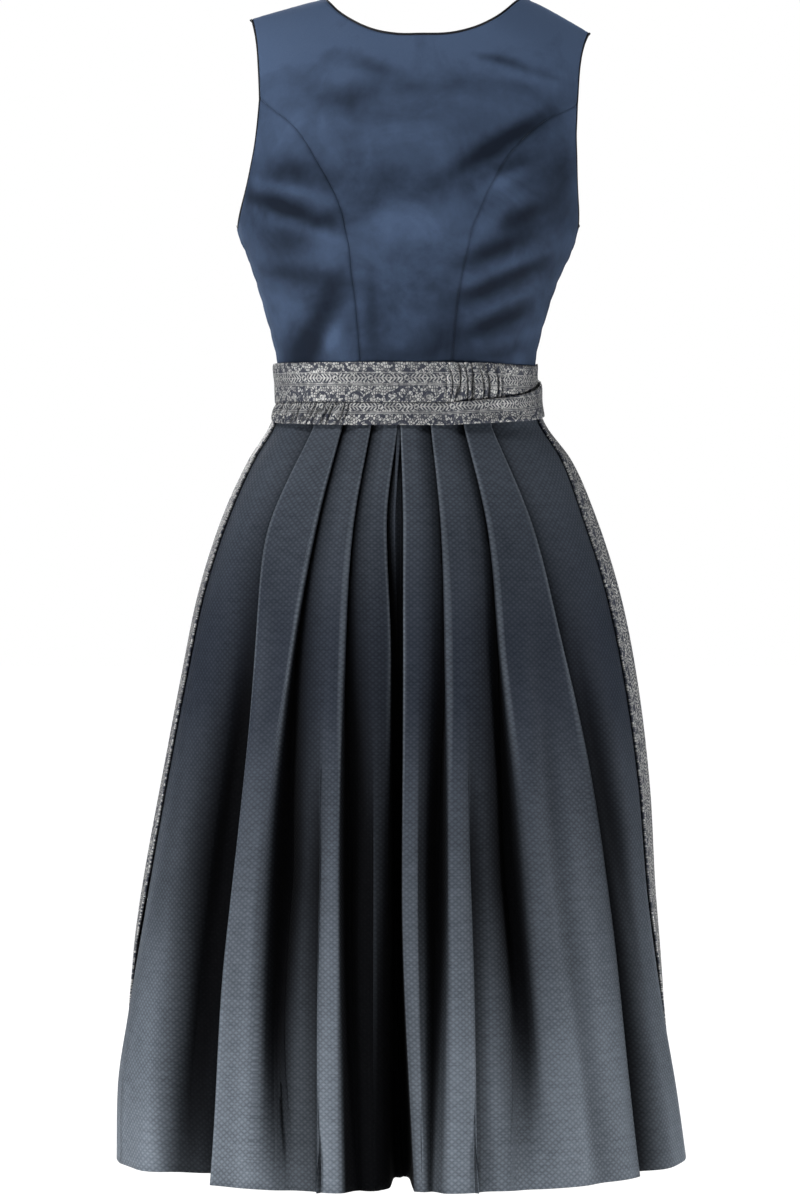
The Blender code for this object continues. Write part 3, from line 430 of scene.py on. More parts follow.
def grid_lengths(points):
    """The ways across and down a grid, for a flat map in metres."""
    u = np.stack([way_along(row) for row in points])
    v = np.stack([way_along(column) for column in points.swapaxes(0, 1)], axis=1)
    return np.stack([u, v], axis=-1)


def volume_of(mesh):
    """Signed volume inside a mesh: below zero means it is inside out."""
    count = len(mesh.vertices)
    points = np.zeros(count * 3)
    mesh.vertices.foreach_get("co", points)
    points = points.reshape(-1, 3)
    mesh.calc_loop_triangles()
    corners = np.zeros(len(mesh.loop_triangles) * 3, np.int32)
    mesh.loop_triangles.foreach_get("vertices", corners)
    a, b, c = (points[corners.reshape(-1, 3)[:, k]] for k in range(3))
    return float(np.sum(a * np.cross(b, c)) / 6)

# %% A sheet of cloth from a grid of points
def closed_piece(name, points, faces, corner_uv, material):
    """A closed mesh in the scene, with a flat map that has a place for each corner of a face."""
    mesh = bpy.data.meshes.new(name)
    mesh.from_pydata(points.tolist(), [], faces.tolist())
    layer = mesh.uv_layers.new(name="cloth")
    layer.data.foreach_set("uv", corner_uv.astype(np.float32).ravel())
    mesh.shade_smooth()
    mesh.materials.append(material)
    piece = bpy.data.objects.new(name, mesh)
    bpy.context.scene.collection.objects.link(piece)
    if volume_of(mesh) < 0:
        mesh.flip_normals()
    return piece


def cloth_sheet(name, outer, inner, uv, material):
    """One piece of cloth. uv holds each point's place on the flat cloth in metres."""
    rows, cols = outer.shape[:2]
    points = np.concatenate([outer.reshape(-1, 3), inner.reshape(-1, 3)])
    index = np.arange(rows * cols).reshape(rows, cols)
    quads = np.stack([index[:-1, :-1], index[1:, :-1], index[1:, 1:], index[:-1, 1:]],
                     axis=-1).reshape(-1, 4)
    lining = quads[:, ::-1] + rows * cols
    border = np.array([*index[0, :-1], *index[:-1, -1], *index[-1, :0:-1], *index[:0:-1, 0]])
    after = np.roll(border, -1)
    rim = np.stack([border, after, after + rows * cols, border + rows * cols], axis=1)
    faces = np.concatenate([quads, lining, rim])
    flat = np.concatenate([uv.reshape(-1, 2)] * 2)
    return closed_piece(name, points, faces, flat[faces], material)


def mark(piece, label, values):
    """Stores a value for every point of the outer face, and the same one for the lining."""
    layer = piece.data.attributes.new(label, "FLOAT", "POINT")
    layer.data.foreach_set("value", np.concatenate([values.ravel()] * 2).astype(np.float32))


def dress(piece, slot, *nodes):
    """Hangs a finished piece on the dress in place of its solids."""
    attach(piece, "root")
    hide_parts(*nodes)
    mesh = piece.data
    mesh.calc_loop_triangles()
    print(piece.name, len(mesh.loop_triangles), "triangles", round(volume_of(mesh) * 1e6, 1), "cm3")

# %% [markdown]
# ## Studio
#
# The picture was taken from behind, at about the height of the hips, with a long lens. The camera
# stands four metres off and looks slightly down. Light comes from large soft panels, and a pale
# floor below the hem throws some of it back.

# %% Camera
CAMERA = SimpleNamespace(place=(0.0194, 4.029, -0.4214), tilt=math.radians(1.8315), lens=131.0)


def add_camera():
    camera = bpy.data.cameras.new("studio_camera")
    camera.lens = CAMERA.lens
    camera.sensor_width = 36
    camera.clip_end = 60
    stand = bpy.data.objects.new("studio_camera", camera)
    stand.location = CAMERA.place
    stand.rotation_euler = (math.pi / 2 - CAMERA.tilt, 0, math.pi)
    bpy.context.scene.collection.objects.link(stand)
    bpy.context.scene.camera = stand
    return stand


camera = add_camera()
print("camera lens:", camera.data.lens)

# %% Floor
FLOOR_Z = -1.32
FLOOR_SIZE = 30.0
FLOOR_PAPER = {"Base Color": (0.85, 0.85, 0.85, 1), "Roughness": 0.9, "Specular IOR Level": 0.1}
FLOOR_GLOW, FLOOR_GLOW_SHARE = 1.20, 0.86   # the paper is seen nearly white right to the horizon


def add_floor():
    bpy.ops.object.select_all(action="DESELECT")
    bpy.ops.mesh.primitive_plane_add(size=FLOOR_SIZE, location=(0, 0, FLOOR_Z))
    floor = bpy.context.object
    floor.name = "floor"
    paper = bpy.data.materials.new("floor_paper")
    paper.use_nodes = True
    tree = paper.node_tree
    shader = tree.nodes["Principled BSDF"]
    for key, value in FLOOR_PAPER.items():
        shader.inputs[key].default_value = value
    glow = tree.nodes.new("ShaderNodeEmission")
    glow.inputs["Strength"].default_value = FLOOR_GLOW
    path = tree.nodes.new("ShaderNodeLightPath")
    seen = tree.nodes.new("ShaderNodeMath")
    seen.operation = "MULTIPLY"
    seen.inputs[1].default_value = FLOOR_GLOW_SHARE
    mix = tree.nodes.new("ShaderNodeMixShader")
    tree.links.new(path.outputs["Is Camera Ray"], seen.inputs[0])
    tree.links.new(seen.outputs[0], mix.inputs[0])
    tree.links.new(shader.outputs[0], mix.inputs[1])
    tree.links.new(glow.outputs[0], mix.inputs[2])
    tree.links.new(mix.outputs[0], tree.nodes["Material Output"].inputs["Surface"])
    floor.data.materials.append(paper)
    return floor


floor = add_floor()

# %% [markdown]
# Hardly any light comes from beside the camera. A low panel stands on each side of the skirt and
# grazes its folds, a small one near the floor lifts the hem, and one high on the left lights the
# shoulders. The sky is white, so the page round the dress stays clean, but it lights the cloth only
# a little: deep pleats have to go dark.

# %% Light panels and sky
SKY_SEEN = 1.0
SKY_LIGHT = 0.02
PANELS = {
    # name: (place, looks at, width, height, watts)
    "left": ((2.03, 1.28, -1.15), (0.0, 0.0, -1.0), 0.8, 0.5, 43),
    "right": ((-2.28, 0.74, -1.15), (0.0, 0.0, -1.0), 0.8, 0.5, 42),
    "low": ((0.02, 1.10, -1.30), (0.0, 0.0, -1.10), 1.2, 0.25, 5.5),
    "top": ((1.2, 1.3, 2.2), (0.0, 0.0, -0.2), 1.2, 0.9, 62),
    "front": ((0.6, -3.2, 0.9), (0.0, 0.0, -0.5), 2.0, 2.0, 90),
}


def add_panel_light(name, place, target, width, height, watts):
    light = bpy.data.lights.new("light_" + name, "AREA")
    light.shape = "RECTANGLE"
    light.size, light.size_y, light.energy = width, height, watts
    lamp = bpy.data.objects.new("light_" + name, light)
    lamp.location = place
    way = [b - a for a, b in zip(place, target)]
    turn = math.atan2(way[1], way[0]) - math.pi / 2
    lift = math.atan2(way[2], math.hypot(way[0], way[1]))
    lamp.rotation_euler = (math.pi / 2 + lift, 0, turn)
    bpy.context.scene.collection.objects.link(lamp)


def light_the_studio():
    for name, panel in PANELS.items():
        add_panel_light(name, *panel)
    world = bpy.data.worlds.new("studio_sky")
    bpy.context.scene.world = world
    world.use_nodes = True
    tree = world.node_tree
    sky = tree.nodes["Background"]
    sky.inputs["Color"].default_value = (1, 1, 1, 1)
    path = tree.nodes.new("ShaderNodeLightPath")
    mix = tree.nodes.new("ShaderNodeMix")
    mix.inputs[2].default_value = SKY_LIGHT
    mix.inputs[3].default_value = SKY_SEEN
    tree.links.new(path.outputs["Is Camera Ray"], mix.inputs[0])
    tree.links.new(mix.outputs[0], sky.inputs["Strength"])
    bpy.context.scene.view_settings.view_transform = "Standard"


light_the_studio()
print("light panels:", ", ".join(PANELS))

# %% [markdown]
# ## Finishes
#
# Weaves are drawn with shader maths. A small class wraps a socket, so a mask reads like ordinary
# arithmetic and each operator adds its Math node.

# %% Arithmetic on sockets
class Wire:
    """One value that flows through a material."""

    def __init__(self, tree, socket):
        self.tree, self.socket = tree, socket

    def math(self, operation, *others, first=None):
        node = self.tree.nodes.new("ShaderNodeMath")
        node.operation = operation
        values = (self, *others) if first is None else (first, self, *others)
        for slot, value in zip(node.inputs, values):
            plug(self.tree, slot, value)
        return Wire(self.tree, node.outputs[0])

    def __rsub__(self, other):
        return self.math("SUBTRACT", first=other)

    def __neg__(self):
        return self.math("MULTIPLY", -1.0)

    __add__ = __radd__ = partialmethod(math, "ADD")
    __sub__ = partialmethod(math, "SUBTRACT")
    __mul__ = __rmul__ = partialmethod(math, "MULTIPLY")
    __pow__ = partialmethod(math, "POWER")
    __abs__ = partialmethod(math, "ABSOLUTE")
    sin, floor = partialmethod(math, "SINE"), partialmethod(math, "FLOOR")
    most, least = partialmethod(math, "MAXIMUM"), partialmethod(math, "MINIMUM")

    def fold(self, period):
        """Distance to the nearest multiple of a period: 0 there, half a period between two."""
        return abs(self.repeat(period))

    def repeat(self, period):
        """The value within its repeat, from minus half a period to half a period."""
        return self.math("WRAP", period / 2, -period / 2)

    def rise(self, start, end):
        """0 below start, 1 above end, with a straight ramp between."""
        node = self.tree.nodes.new("ShaderNodeMapRange")
        node.clamp = True
        for slot, value in zip(node.inputs, (self, start, end, 0.0, 1.0)):
            plug(self.tree, slot, value)
        return Wire(self.tree, node.outputs[0])

    def fade(self, start, end):
        """1 below start, 0 above end."""
        return 1.0 - self.rise(start, end)

    def between(self, inner, outer):
        """1 between two edges, each of them a ramp (start, end)."""
        return self.rise(*inner) * self.fade(*outer)

    def zigzag(self, period):
        """From 0 up to 1 and back over a period."""
        return self.fold(period) * (2 / period)


def plug(tree, slot, value):
    """Gives a socket a link or a plain value."""
    if isinstance(value, Wire):
        tree.links.new(value.socket, slot)
    else:
        slot.default_value = value

# %% A finish: one material and its nodes
class Finish:
    def __init__(self, name, **sockets):
        self.material = bpy.data.materials.new(name)
        self.material.use_nodes = True
        self.tree = self.material.node_tree
        self.shader = self.tree.nodes["Principled BSDF"]
        for key, value in sockets.items():
            self.shader.inputs[key.replace("_", " ")].default_value = value

    def node(self, kind, settings=None, sockets=None, out=0):
        node = self.tree.nodes.new("ShaderNode" + kind)
        for key, value in (settings or {}).items():
            setattr(node, key, value)
        for key, value in (sockets or {}).items():
            plug(self.tree, node.inputs[key], value)
        return Wire(self.tree, node.outputs[out])

    def flat(self):
        """Place on the flat cloth in metres: across and down."""
        uv = self.node("TexCoord", out="UV")
        parts = self.node("SeparateXYZ", sockets={0: uv})
        return parts, Wire(self.tree, parts.socket.node.outputs[1])

    def stored(self, label):
        """A value that the mesh carries for each of its points."""
        return self.node("Attribute", {"attribute_name": label}, out="Fac")

    def place(self):
        """Place in the dress's own frame: the vector, x, y and z."""
        spot = self.node("TexCoord", out="Object")
        parts = self.node("SeparateXYZ", sockets={0: spot})
        outputs = parts.socket.node.outputs
        return spot, parts, Wire(self.tree, outputs[1]), Wire(self.tree, outputs[2])

    def noise(self, vector, scale, detail=2.0, roughness=0.5, distortion=0.0):
        return self.node("TexNoise", {"noise_dimensions": "3D"},
                         {"Vector": vector, "Scale": scale, "Detail": detail,
                          "Roughness": roughness, "Distortion": distortion})

    def vector(self, x, y, z=0.0):
        return self.node("CombineXYZ", sockets={0: x, 1: y, 2: z})

    def mix(self, factor, first, second):
        """A colour between two: 0 gives the first and 1 the second."""
        node = self.tree.nodes.new("ShaderNodeMix")
        node.data_type = "RGBA"
        for slot, value in ((0, factor), (6, first), (7, second)):
            if not isinstance(value, Wire) and slot:
                value = (*value, 1)
            plug(self.tree, node.inputs[slot], value)
        return Wire(self.tree, node.outputs[2])

    def colour(self, value):
        plug(self.tree, self.shader.inputs["Base Color"], value)

    def roughness(self, value):
        plug(self.tree, self.shader.inputs["Roughness"], value)

    def relief(self, height, depth, strength=1.0):
        """Bump from a height of 0 to 1 that stands for a depth in metres."""
        bump = self.node("Bump", sockets={"Height": height, "Distance": depth,
                                          "Strength": strength})
        plug(self.tree, self.shader.inputs["Normal"], bump)

# %% [markdown]
# ** Velvet.** The pile stands up, so it is dark where it is looked into and light at its rims, which
# the sheen layer does. Each panel carries a value "turned" that darkens it: the pile's own patches,
# and painted shade in creases' troughs, along seams and in shaded patches, with painted light on
# ridges and in lit patches.

# %% Velvet
VELVET_DEEP = (0.0040, 0.0085, 0.0190)
VELVET_LIT = (0.0730, 0.1130, 0.2000)
VELVET_RANGE, VELVET_CURVE = (-0.45, 1.10), 1.4     # the shades from deep to lit, and their middle


def make_velvet():
    finish = Finish("velvet", Sheen_Weight=0.22, Sheen_Roughness=0.42,
                    Sheen_Tint=(0.42, 0.58, 0.92, 1), Specular_IOR_Level=0.15)
    spot, x, y, z = finish.place()
    patches = finish.noise(spot, scale=16.0, detail=4.0, roughness=0.60, distortion=0.8)
    soft = finish.noise(spot, scale=52.0, detail=3.0, roughness=0.6)
    pile = finish.noise(spot, scale=1900.0, detail=2.0, roughness=0.6)
    # turned darkens the velvet: the pile's patches, painted shade in troughs, seams and shaded
    # patches, and painted light (below 0) on ridges and lit patches
    turned = finish.stored("turned")
    shade = 0.5 + (patches - 0.5) * 1.3 + (soft - 0.5) * 0.7 - turned * (0.75 + patches * 1.0)
    # the yoke looks up at the light, and the cloth under the right armhole looks away from it
    shade = shade + z.rise(-0.32, -0.15) * 0.10 + z.rise(-0.17, -0.02) * 0.80 - 0.06
    shade = shade - (-x).rise(0.04, 0.12) * z.rise(-0.02, -0.12) * 0.22
    colour = finish.mix(shade.rise(*VELVET_RANGE) ** VELVET_CURVE, VELVET_DEEP, VELVET_LIT)
    grain = pile.rise(0.25, 0.75)
    finish.colour(finish.mix(grain * 0.25, colour, VELVET_DEEP))
    finish.roughness(0.80 + (soft - 0.5) * 0.2)
    finish.relief(pile, depth=0.0004, strength=0.35)
    return finish.material


velvet = make_velvet()

# %% [markdown]
# ## Bodice
#
# Seven velvet panels are sewn edge to edge. At a seam both edges turn in, so the seam is a fine
# groove, and the thread draws the pile into small puckers beside it. Each panel is a grid between
# its four edges, and one function of place moves it for seams, puckers and creases, so that
# neighbours always agree.

# %% Seams and edges of the bodice
CELLS = SimpleNamespace(shoulder=18, back_neck=46, front_neck=58, armhole_upper=34,
                        armhole_lower=34, princess=84, side_panel=40, front_panel=50)
CELLS.side_seam = CELLS.princess - CELLS.armhole_lower
CELLS.centre_front = CELLS.armhole_upper + CELLS.princess - CELLS.front_neck


def bodice_lines():
    """Every seam and edge of the bodice as evenly spaced places."""
    lines = SimpleNamespace(side={})
    lines.back_neck = along(places(BACK_NECK, 1), CELLS.back_neck)
    for side in ("left", "right"):
        line = SimpleNamespace()
        tip, neck = SHOULDER_TIP[side], NECK_POINT[side]
        line.shoulder = along(places([tip, neck], 1), CELLS.shoulder)
        line.front_shoulder = along(places([tip, neck], -1), CELLS.front_panel)
        line.back_armhole_upper = along(places(BACK_ARMHOLE_UPPER[side], 1), CELLS.armhole_upper)
        line.front_armhole_upper = along(places(FRONT_ARMHOLE_UPPER[side], -1),
                                         CELLS.armhole_upper)
        for face, sign, lower in (("back", 1, BACK_ARMHOLE_LOWER), ("front", -1,
                                                                   FRONT_ARMHOLE_LOWER)):
            underarm = side_place(side, sign, UNDERARM_Z)
            setattr(line, face + "_armhole_lower",
                    along(places(lower[side], sign) + [underarm], CELLS.armhole_lower))
            setattr(line, face + "_side",
                    along([underarm, side_place(side, sign, WAIST_Z)], CELLS.side_seam))
        line.back_princess = along(places(BACK_PRINCESS[side], 1), CELLS.princess)
        line.front_princess = along(places(FRONT_PRINCESS[side], -1), CELLS.princess)
        line.front_neck = along(places(FRONT_NECK[side], -1), CELLS.front_neck)
        line.centre_front = along(places(CENTRE_FRONT, -1), CELLS.centre_front)
        lines.side[side] = line
    return lines


lines = bodice_lines()
print("points along a princess seam:", len(lines.side["left"].back_princess))

# %% Creases of the bodice
# Each is a soft ridge (height above 0) or trough: x and z of its two ends, its half width and its
# height.
BACK_CREASES = [
    (-0.048, -0.058, -0.138, -0.079, 0.010, 0.0011), (-0.060, -0.074, -0.134, -0.094, 0.009, -0.0009),
    (-0.128, -0.106, -0.050, -0.150, 0.014, -0.0012), (0.166, -0.196, 0.098, -0.214, 0.013, -0.0014),
    (0.160, -0.222, 0.104, -0.238, 0.012, 0.0010), (-0.139, -0.196, -0.080, -0.212, 0.012, -0.0013),
    (-0.134, -0.224, -0.092, -0.244, 0.012, 0.0009), (0.092, -0.290, 0.070, -0.324, 0.013, 0.0012),
    (0.112, -0.306, 0.126, -0.340, 0.008, -0.0008), (0.040, -0.336, 0.046, -0.362, 0.010, -0.0006),
    (0.006, -0.330, 0.002, -0.362, 0.014, 0.0006), (-0.050, -0.318, -0.066, -0.352, 0.012, 0.0009),
    (-0.086, -0.300, -0.098, -0.340, 0.009, -0.0009), (0.046, -0.070, 0.104, -0.094, 0.014, 0.0006),
    (-0.004, -0.096, -0.060, -0.128, 0.018, -0.0006), (0.030, -0.196, 0.052, -0.246, 0.016, 0.0006),
]
FRONT_CREASES = [
    (0.156, -0.206, 0.110, -0.232, 0.014, -0.0013), (-0.137, -0.204, -0.094, -0.230, 0.014, -0.0012),
    (0.120, -0.118, 0.086, -0.150, 0.014, 0.0010), (-0.116, -0.116, -0.080, -0.148, 0.014, 0.0010),
    (0.060, -0.262, 0.020, -0.284, 0.012, -0.0007), (-0.040, -0.260, -0.004, -0.282, 0.012, -0.0007),
    (0.098, -0.318, 0.118, -0.344, 0.010, 0.0009), (-0.076, -0.316, -0.092, -0.342, 0.010, 0.0009),
    (0.030, -0.318, 0.034, -0.356, 0.010, -0.0006), (-0.014, -0.320, -0.016, -0.356, 0.010, 0.0006),
]
# Hollows that cross the side seams: how far down the seam each is, and its depth.
SIDE_PUCKERS = [(0.006, 0.0007), (0.021, 0.0009), (0.034, 0.0006), (0.052, 0.0008),
                (0.071, 0.0006), (0.096, 0.0008), (0.118, 0.0005), (0.139, 0.0006)]

# %% Patches of the pile, and of painted shade and light
# Each has x and z of its middle, its half width and half height, how much it climbs toward +x, and
# how dark it is (below 0 it is light). They are partly where the pile lies differently and partly
# painted shade and painted light: dark bands along creases and under the arms, light patches where
# the cloth faces the light. The front has the back's patches, mirrored and fainter.
PILE_AND_SHADE_PATCHES = [
    (0.045, -0.066, 0.030, 0.009, 0.30, 0.50), (0.078, -0.096, 0.032, 0.013, 0.10, 0.55),
    (0.049, -0.085, 0.020, 0.010, 0.00, 0.35), (0.012, -0.085, 0.018, 0.007, 0.00, 0.30),
    (-0.041, -0.083, 0.026, 0.010, 0.10, 0.40), (-0.072, -0.059, 0.026, 0.0045, 0.20, 0.50),
    (-0.094, -0.068, 0.040, 0.0045, 0.27, 0.45), (-0.064, -0.140, 0.046, 0.010, -0.60, 0.70),
    (-0.090, -0.122, 0.030, 0.009, -0.60, 0.25), (0.028, -0.173, 0.045, 0.020, 0.00, 0.28),
    (0.118, -0.161, 0.036, 0.014, 0.10, 0.50), (0.126, -0.192, 0.036, 0.0075, 0.35, 0.85),
    (0.087, -0.206, 0.018, 0.008, -0.40, 0.40), (0.124, -0.227, 0.030, 0.013, 0.20, 0.50),
    (0.112, -0.253, 0.034, 0.010, 0.15, 0.50), (0.091, -0.292, 0.020, 0.024, -1.40, 0.80),
    (0.108, -0.328, 0.016, 0.020, 0.00, 0.60), (0.045, -0.284, 0.006, 0.030, 0.00, 0.35),
    (0.018, -0.328, 0.030, 0.009, 0.00, 0.40), (-0.016, -0.309, 0.022, 0.016, -0.60, 0.45),
    (-0.065, -0.232, 0.028, 0.009, -0.40, 0.70), (-0.094, -0.200, 0.028, 0.009, -0.45, 0.50),
    (-0.062, -0.265, 0.032, 0.009, -0.40, 0.70), (-0.100, -0.245, 0.024, 0.008, -0.30, 0.45),
    (-0.065, -0.297, 0.032, 0.009, -0.45, 0.65), (-0.080, -0.157, 0.020, 0.007, -0.30, 0.45),
    (-0.055, -0.326, 0.030, 0.008, -0.20, 0.50), (-0.129, -0.165, 0.010, 0.030, 0.00, 0.20),
    (0.116, -0.178, 0.034, 0.0055, 0.30, -0.35), (0.110, -0.213, 0.030, 0.0065, 0.30, -0.35),
    (0.085, -0.236, 0.024, 0.016, 0.00, -0.35), (0.014, -0.212, 0.050, 0.022, 0.00, -0.40),
    (0.0800, -0.310, 0.009, 0.012, -1.20, -0.60), (0.127, -0.284, 0.018, 0.030, 0.00, -0.30),
    (-0.074, -0.170, 0.030, 0.008, -0.50, -0.40), (-0.062, -0.207, 0.016, 0.013, -0.90, -0.35),
    (-0.074, -0.248, 0.034, 0.006, -0.40, -0.35), (-0.074, -0.280, 0.034, 0.006, -0.45, -0.32),
    (-0.078, -0.314, 0.030, 0.007, -0.40, -0.35), (-0.090, -0.332, 0.008, 0.012, 0.00, -0.35),
]

# %% How seams, puckers and creases shape a panel
CREASE_SHADE, SEAM_SHADE = 150.0, 0.55      # painted shade in a trough and along a seam, painted light on a ridge
FRONT_PATCH_SHARE = 0.6         # how strong the front's patches are beside the back's
MIDDLE_X = 0.0194           # the middle of the back, about which the front's patches mirror it
FACE_BLEND = 0.02           # the back's creases give way to the front's within this of the sides
CREASE_FULL = 0.32          # a crease keeps its height within this share of its middle, ...
CREASE_FADE = 0.8           # ... and fades past it
SEAM_DEPTH = 0.0014
SEAM_WIDTH = 0.0015
PUCKER = SimpleNamespace(height=0.00022, reach=0.0055, wave=0.0085)
SIDE_PUCKER = SimpleNamespace(half_height=0.0042, reach=0.030, end=0.08)


def crease_height(x, z, creases):
    """How far soft ridges and troughs move the cloth at a place."""
    height = np.zeros_like(x)
    for x0, z0, x1, z1, width, peak in creases:
        way = np.array([x1 - x0, z1 - z0])
        length = np.linalg.norm(way)
        share = ((x - x0) * way[0] + (z - z0) * way[1]) / length ** 2
        off = ((x - x0) * way[1] - (z - z0) * way[0]) / length
        past = np.maximum(np.abs(share - 0.5) - CREASE_FULL, 0) * length / width
        height += peak * np.exp(-(off / width) ** 2 - (past * CREASE_FADE) ** 2)
    return height


def patch_darkness(x, z):
    """How dark the patches paint a place of the back, for the pile's lie and as painted shade and
    light.
    """
    lean = np.zeros_like(x)
    for at_x, at_z, width, height, climb, dark in PILE_AND_SHADE_PATCHES:
        aside = x - at_x
        lean += dark * np.exp(-(aside / width) ** 2 - ((z - at_z - aside * climb) / height) ** 2)
    return lean


def near_seam(points, seam):
    """Distance from each point to a seam, and the way along the seam there."""
    flat = points.reshape(-1, 3)
    way = way_along(seam)
    nearest = np.empty(len(flat), int)
    gap = np.empty(len(flat))
    for start in range(0, len(flat), 2000):         # in parts, to save memory
        part = np.s_[start:start + 2000]
        far = np.linalg.norm(flat[part][:, None] - seam[None], axis=2)
        nearest[part], gap[part] = far.argmin(axis=1), far.min(axis=1)
    return gap.reshape(points.shape[:2]), way[nearest].reshape(points.shape[:2])


def wander(way, seed):
    """A slow uneven value along a line, between about 0 and 1."""
    turns = np.array([61.0, 97.0, 151.0, 233.0]) * (1 + 0.07 * seed)
    return 0.5 + 0.25 * sum(np.sin(turn * way + seed * (k + 1)) / (k + 1) ** 0.5
                            for k, turn in enumerate(turns)) / 1.4


SEAMS = []
for side, line in lines.side.items():
    for name in ("back_princess", "front_princess", "back_side", "shoulder"):
        SEAMS.append((name, bodice_point(*getattr(line, name).T)))
SEAMS.append(("centre_front", bodice_point(*lines.side["left"].centre_front.T)))


def shaped(points, normals):
    """The panel's points moved for its seams, their puckers and the creases, and how dark each is
    painted:
    the pile's patches, with painted shade in troughs, seams and dark patches and painted light on
    ridges."""
    x, z = points[..., 0], points[..., 2]
    back = eased((points[..., 1] + FACE_BLEND) / (2 * FACE_BLEND))
    height = back * crease_height(x, z, BACK_CREASES)
    height += (1 - back) * crease_height(x, z, FRONT_CREASES)
    front_patches = FRONT_PATCH_SHARE * patch_darkness(2 * MIDDLE_X - x, z)
    turned = back * patch_darkness(x, z) + (1 - back) * front_patches - height * CREASE_SHADE
    for number, (name, seam) in enumerate(SEAMS):
        gap, way = near_seam(points, seam)
        height -= SEAM_DEPTH * np.exp(-(gap / SEAM_WIDTH) ** 2)
        turned = turned + SEAM_SHADE * np.exp(-(gap / (1.2 * SEAM_WIDTH)) ** 2)
        drawn = wander(way, number + 1) * np.sin(2 * math.pi * way / PUCKER.wave
                                                 + 2.2 * np.sin(37 * way + number))
        height += PUCKER.height * drawn * np.exp(-(gap / PUCKER.reach) ** 2)
        if name == "back_side":
            aside = (points[..., 1] / SIDE_PUCKER.reach) ** 2
            for at, peak in SIDE_PUCKERS:
                along_seam = ((way - at) / SIDE_PUCKER.half_height) ** 2
                height -= peak * np.exp(-along_seam - aside) * (gap < SIDE_PUCKER.end)
    return points + normals * height[..., None], turned

# %% Grids over a panel
def pulled_in(points, gap):
    """A panel's border moved in by half a seam gap."""
    points = points.copy()
    for edge, inner in ((np.s_[0], np.s_[1]), (np.s_[-1], np.s_[-2]),
                        (np.s_[:, 0], np.s_[:, 1]), (np.s_[:, -1], np.s_[:, -2])):
        points[edge] += gap * unit(points[inner] - points[edge])
    return points


def waist_run(start, end, cells):
    """Places along the level waist seam, from one seam's lower end to the next."""
    angles = np.linspace(start[0], end[0], cells + 1)
    falls = [fall_of(float(outline(angle, WAIST_Z)[0]), WAIST_Z) for angle in angles]
    return np.stack([angles, falls], axis=1)


def straight_run(start, end, cells):
    return np.stack([np.linspace(a, b, cells + 1) for a, b in zip(start, end)], axis=1)


def crowded(grid, cells):
    """The grid's columns, with the first and last few moved closer to the side edges."""
    count = grid.shape[1] - 1
    share = np.arange(cells + 1) / cells
    column = np.arange(count + 1, dtype=float)
    column[:cells + 1] = cells * share ** 1.5
    column[-cells - 1:] = count - cells * share[::-1] ** 1.5
    lower = np.minimum(column.astype(int), count - 1)
    part = (column - lower)[None, :, None]
    return (1 - part) * grid[:, lower] + part * grid[:, lower + 1]


GRID_SCALE = np.array([0.15, 1.0])     # turns an angle into about the same length as a fall


def evened(grid, rounds=500):
    """The grid's inner places moved until its lines run smoothly and nowhere cross."""
    grid = grid * GRID_SCALE
    for _ in range(rounds):
        across = (grid[1:-1, 2:] - grid[1:-1, :-2]) / 2
        down = (grid[2:, 1:-1] - grid[:-2, 1:-1]) / 2
        corner = (grid[2:, 2:] - grid[2:, :-2] - grid[:-2, 2:] + grid[:-2, :-2]) / 4
        a = np.sum(down * down, axis=-1, keepdims=True)
        b = np.sum(across * down, axis=-1, keepdims=True)
        c = np.sum(across * across, axis=-1, keepdims=True)
        fresh = (a * (grid[1:-1, 2:] + grid[1:-1, :-2]) + c * (grid[2:, 1:-1] + grid[:-2, 1:-1])
                 - 2 * b * corner) / (2 * (a + c))
        grid[1:-1, 1:-1] = fresh
    return grid / GRID_SCALE

# %% The seven panels
def add_panel(name, top, bottom, left, right):
    spots = crowded(evened(filled(top, bottom, left, right)), CELLS.shoulder)
    angle, fall = spots[..., 0], spots[..., 1]
    points = pulled_in(bodice_point(angle, fall), SEAM_GAP / 4)
    normals = bodice_normal(angle, fall)
    outer, turned = shaped(points + VELVET * normals, normals)
    piece = cloth_sheet(name, outer, outer - VELVET * normals, grid_lengths(points), velvet)
    # turned holds the pile's patches and the painted shade and light of creases, seams and patches
    mark(piece, "turned", turned)
    dress(piece, "velvet", name.replace("cloth_", "bodice_"))


POINT_TRIM = 0.02           # a side panel's top point stops this share of a cell down its edges


def add_bodice():
    left, right = lines.side["left"], lines.side["right"]
    top = joined(left.shoulder, lines.back_neck, right.shoulder[::-1])
    sides = [joined(line.back_armhole_upper, line.back_princess) for line in (left, right)]
    add_panel("cloth_back", top, waist_run(sides[0][-1], sides[1][-1], len(top) - 1),
              sides[0], sides[1])
    for side, line in lines.side.items():
        for face in ("back", "front"):
            princess = getattr(line, face + "_princess").copy()
            princess[0] += POINT_TRIM * (princess[1] - princess[0])
            outer = joined(getattr(line, face + "_armhole_lower"), getattr(line, face + "_side"))
            outer[0] += POINT_TRIM * (outer[1] - outer[0])
            add_panel(f"cloth_side_{face}_{side}",
                      straight_run(outer[0], princess[0], CELLS.side_panel),
                      waist_run(outer[-1], princess[-1], CELLS.side_panel), outer, princess)
        outer = joined(line.front_armhole_upper, line.front_princess)
        inner = joined(line.front_neck, line.centre_front)
        add_panel(f"cloth_front_{side}", line.front_shoulder,
                  waist_run(outer[-1], inner[-1], CELLS.front_panel), outer, inner)


add_bodice()

# %% [markdown]
# ## Piping
#
# A cord covered in black satin edges the neck and the armholes. It is a thin ring that lies past
# the edge of the velvet, in the middle of its thickness. The satin is cut on the bias, so a faint
# slanting rib winds round it.

# %% Satin for the piping
PIPING_BLACK = (0.0040, 0.0045, 0.0070)
PIPING_RIB = (0.0130, 0.0145, 0.0195)
RIB = SimpleNamespace(pitch=0.0009, slant=1.6)


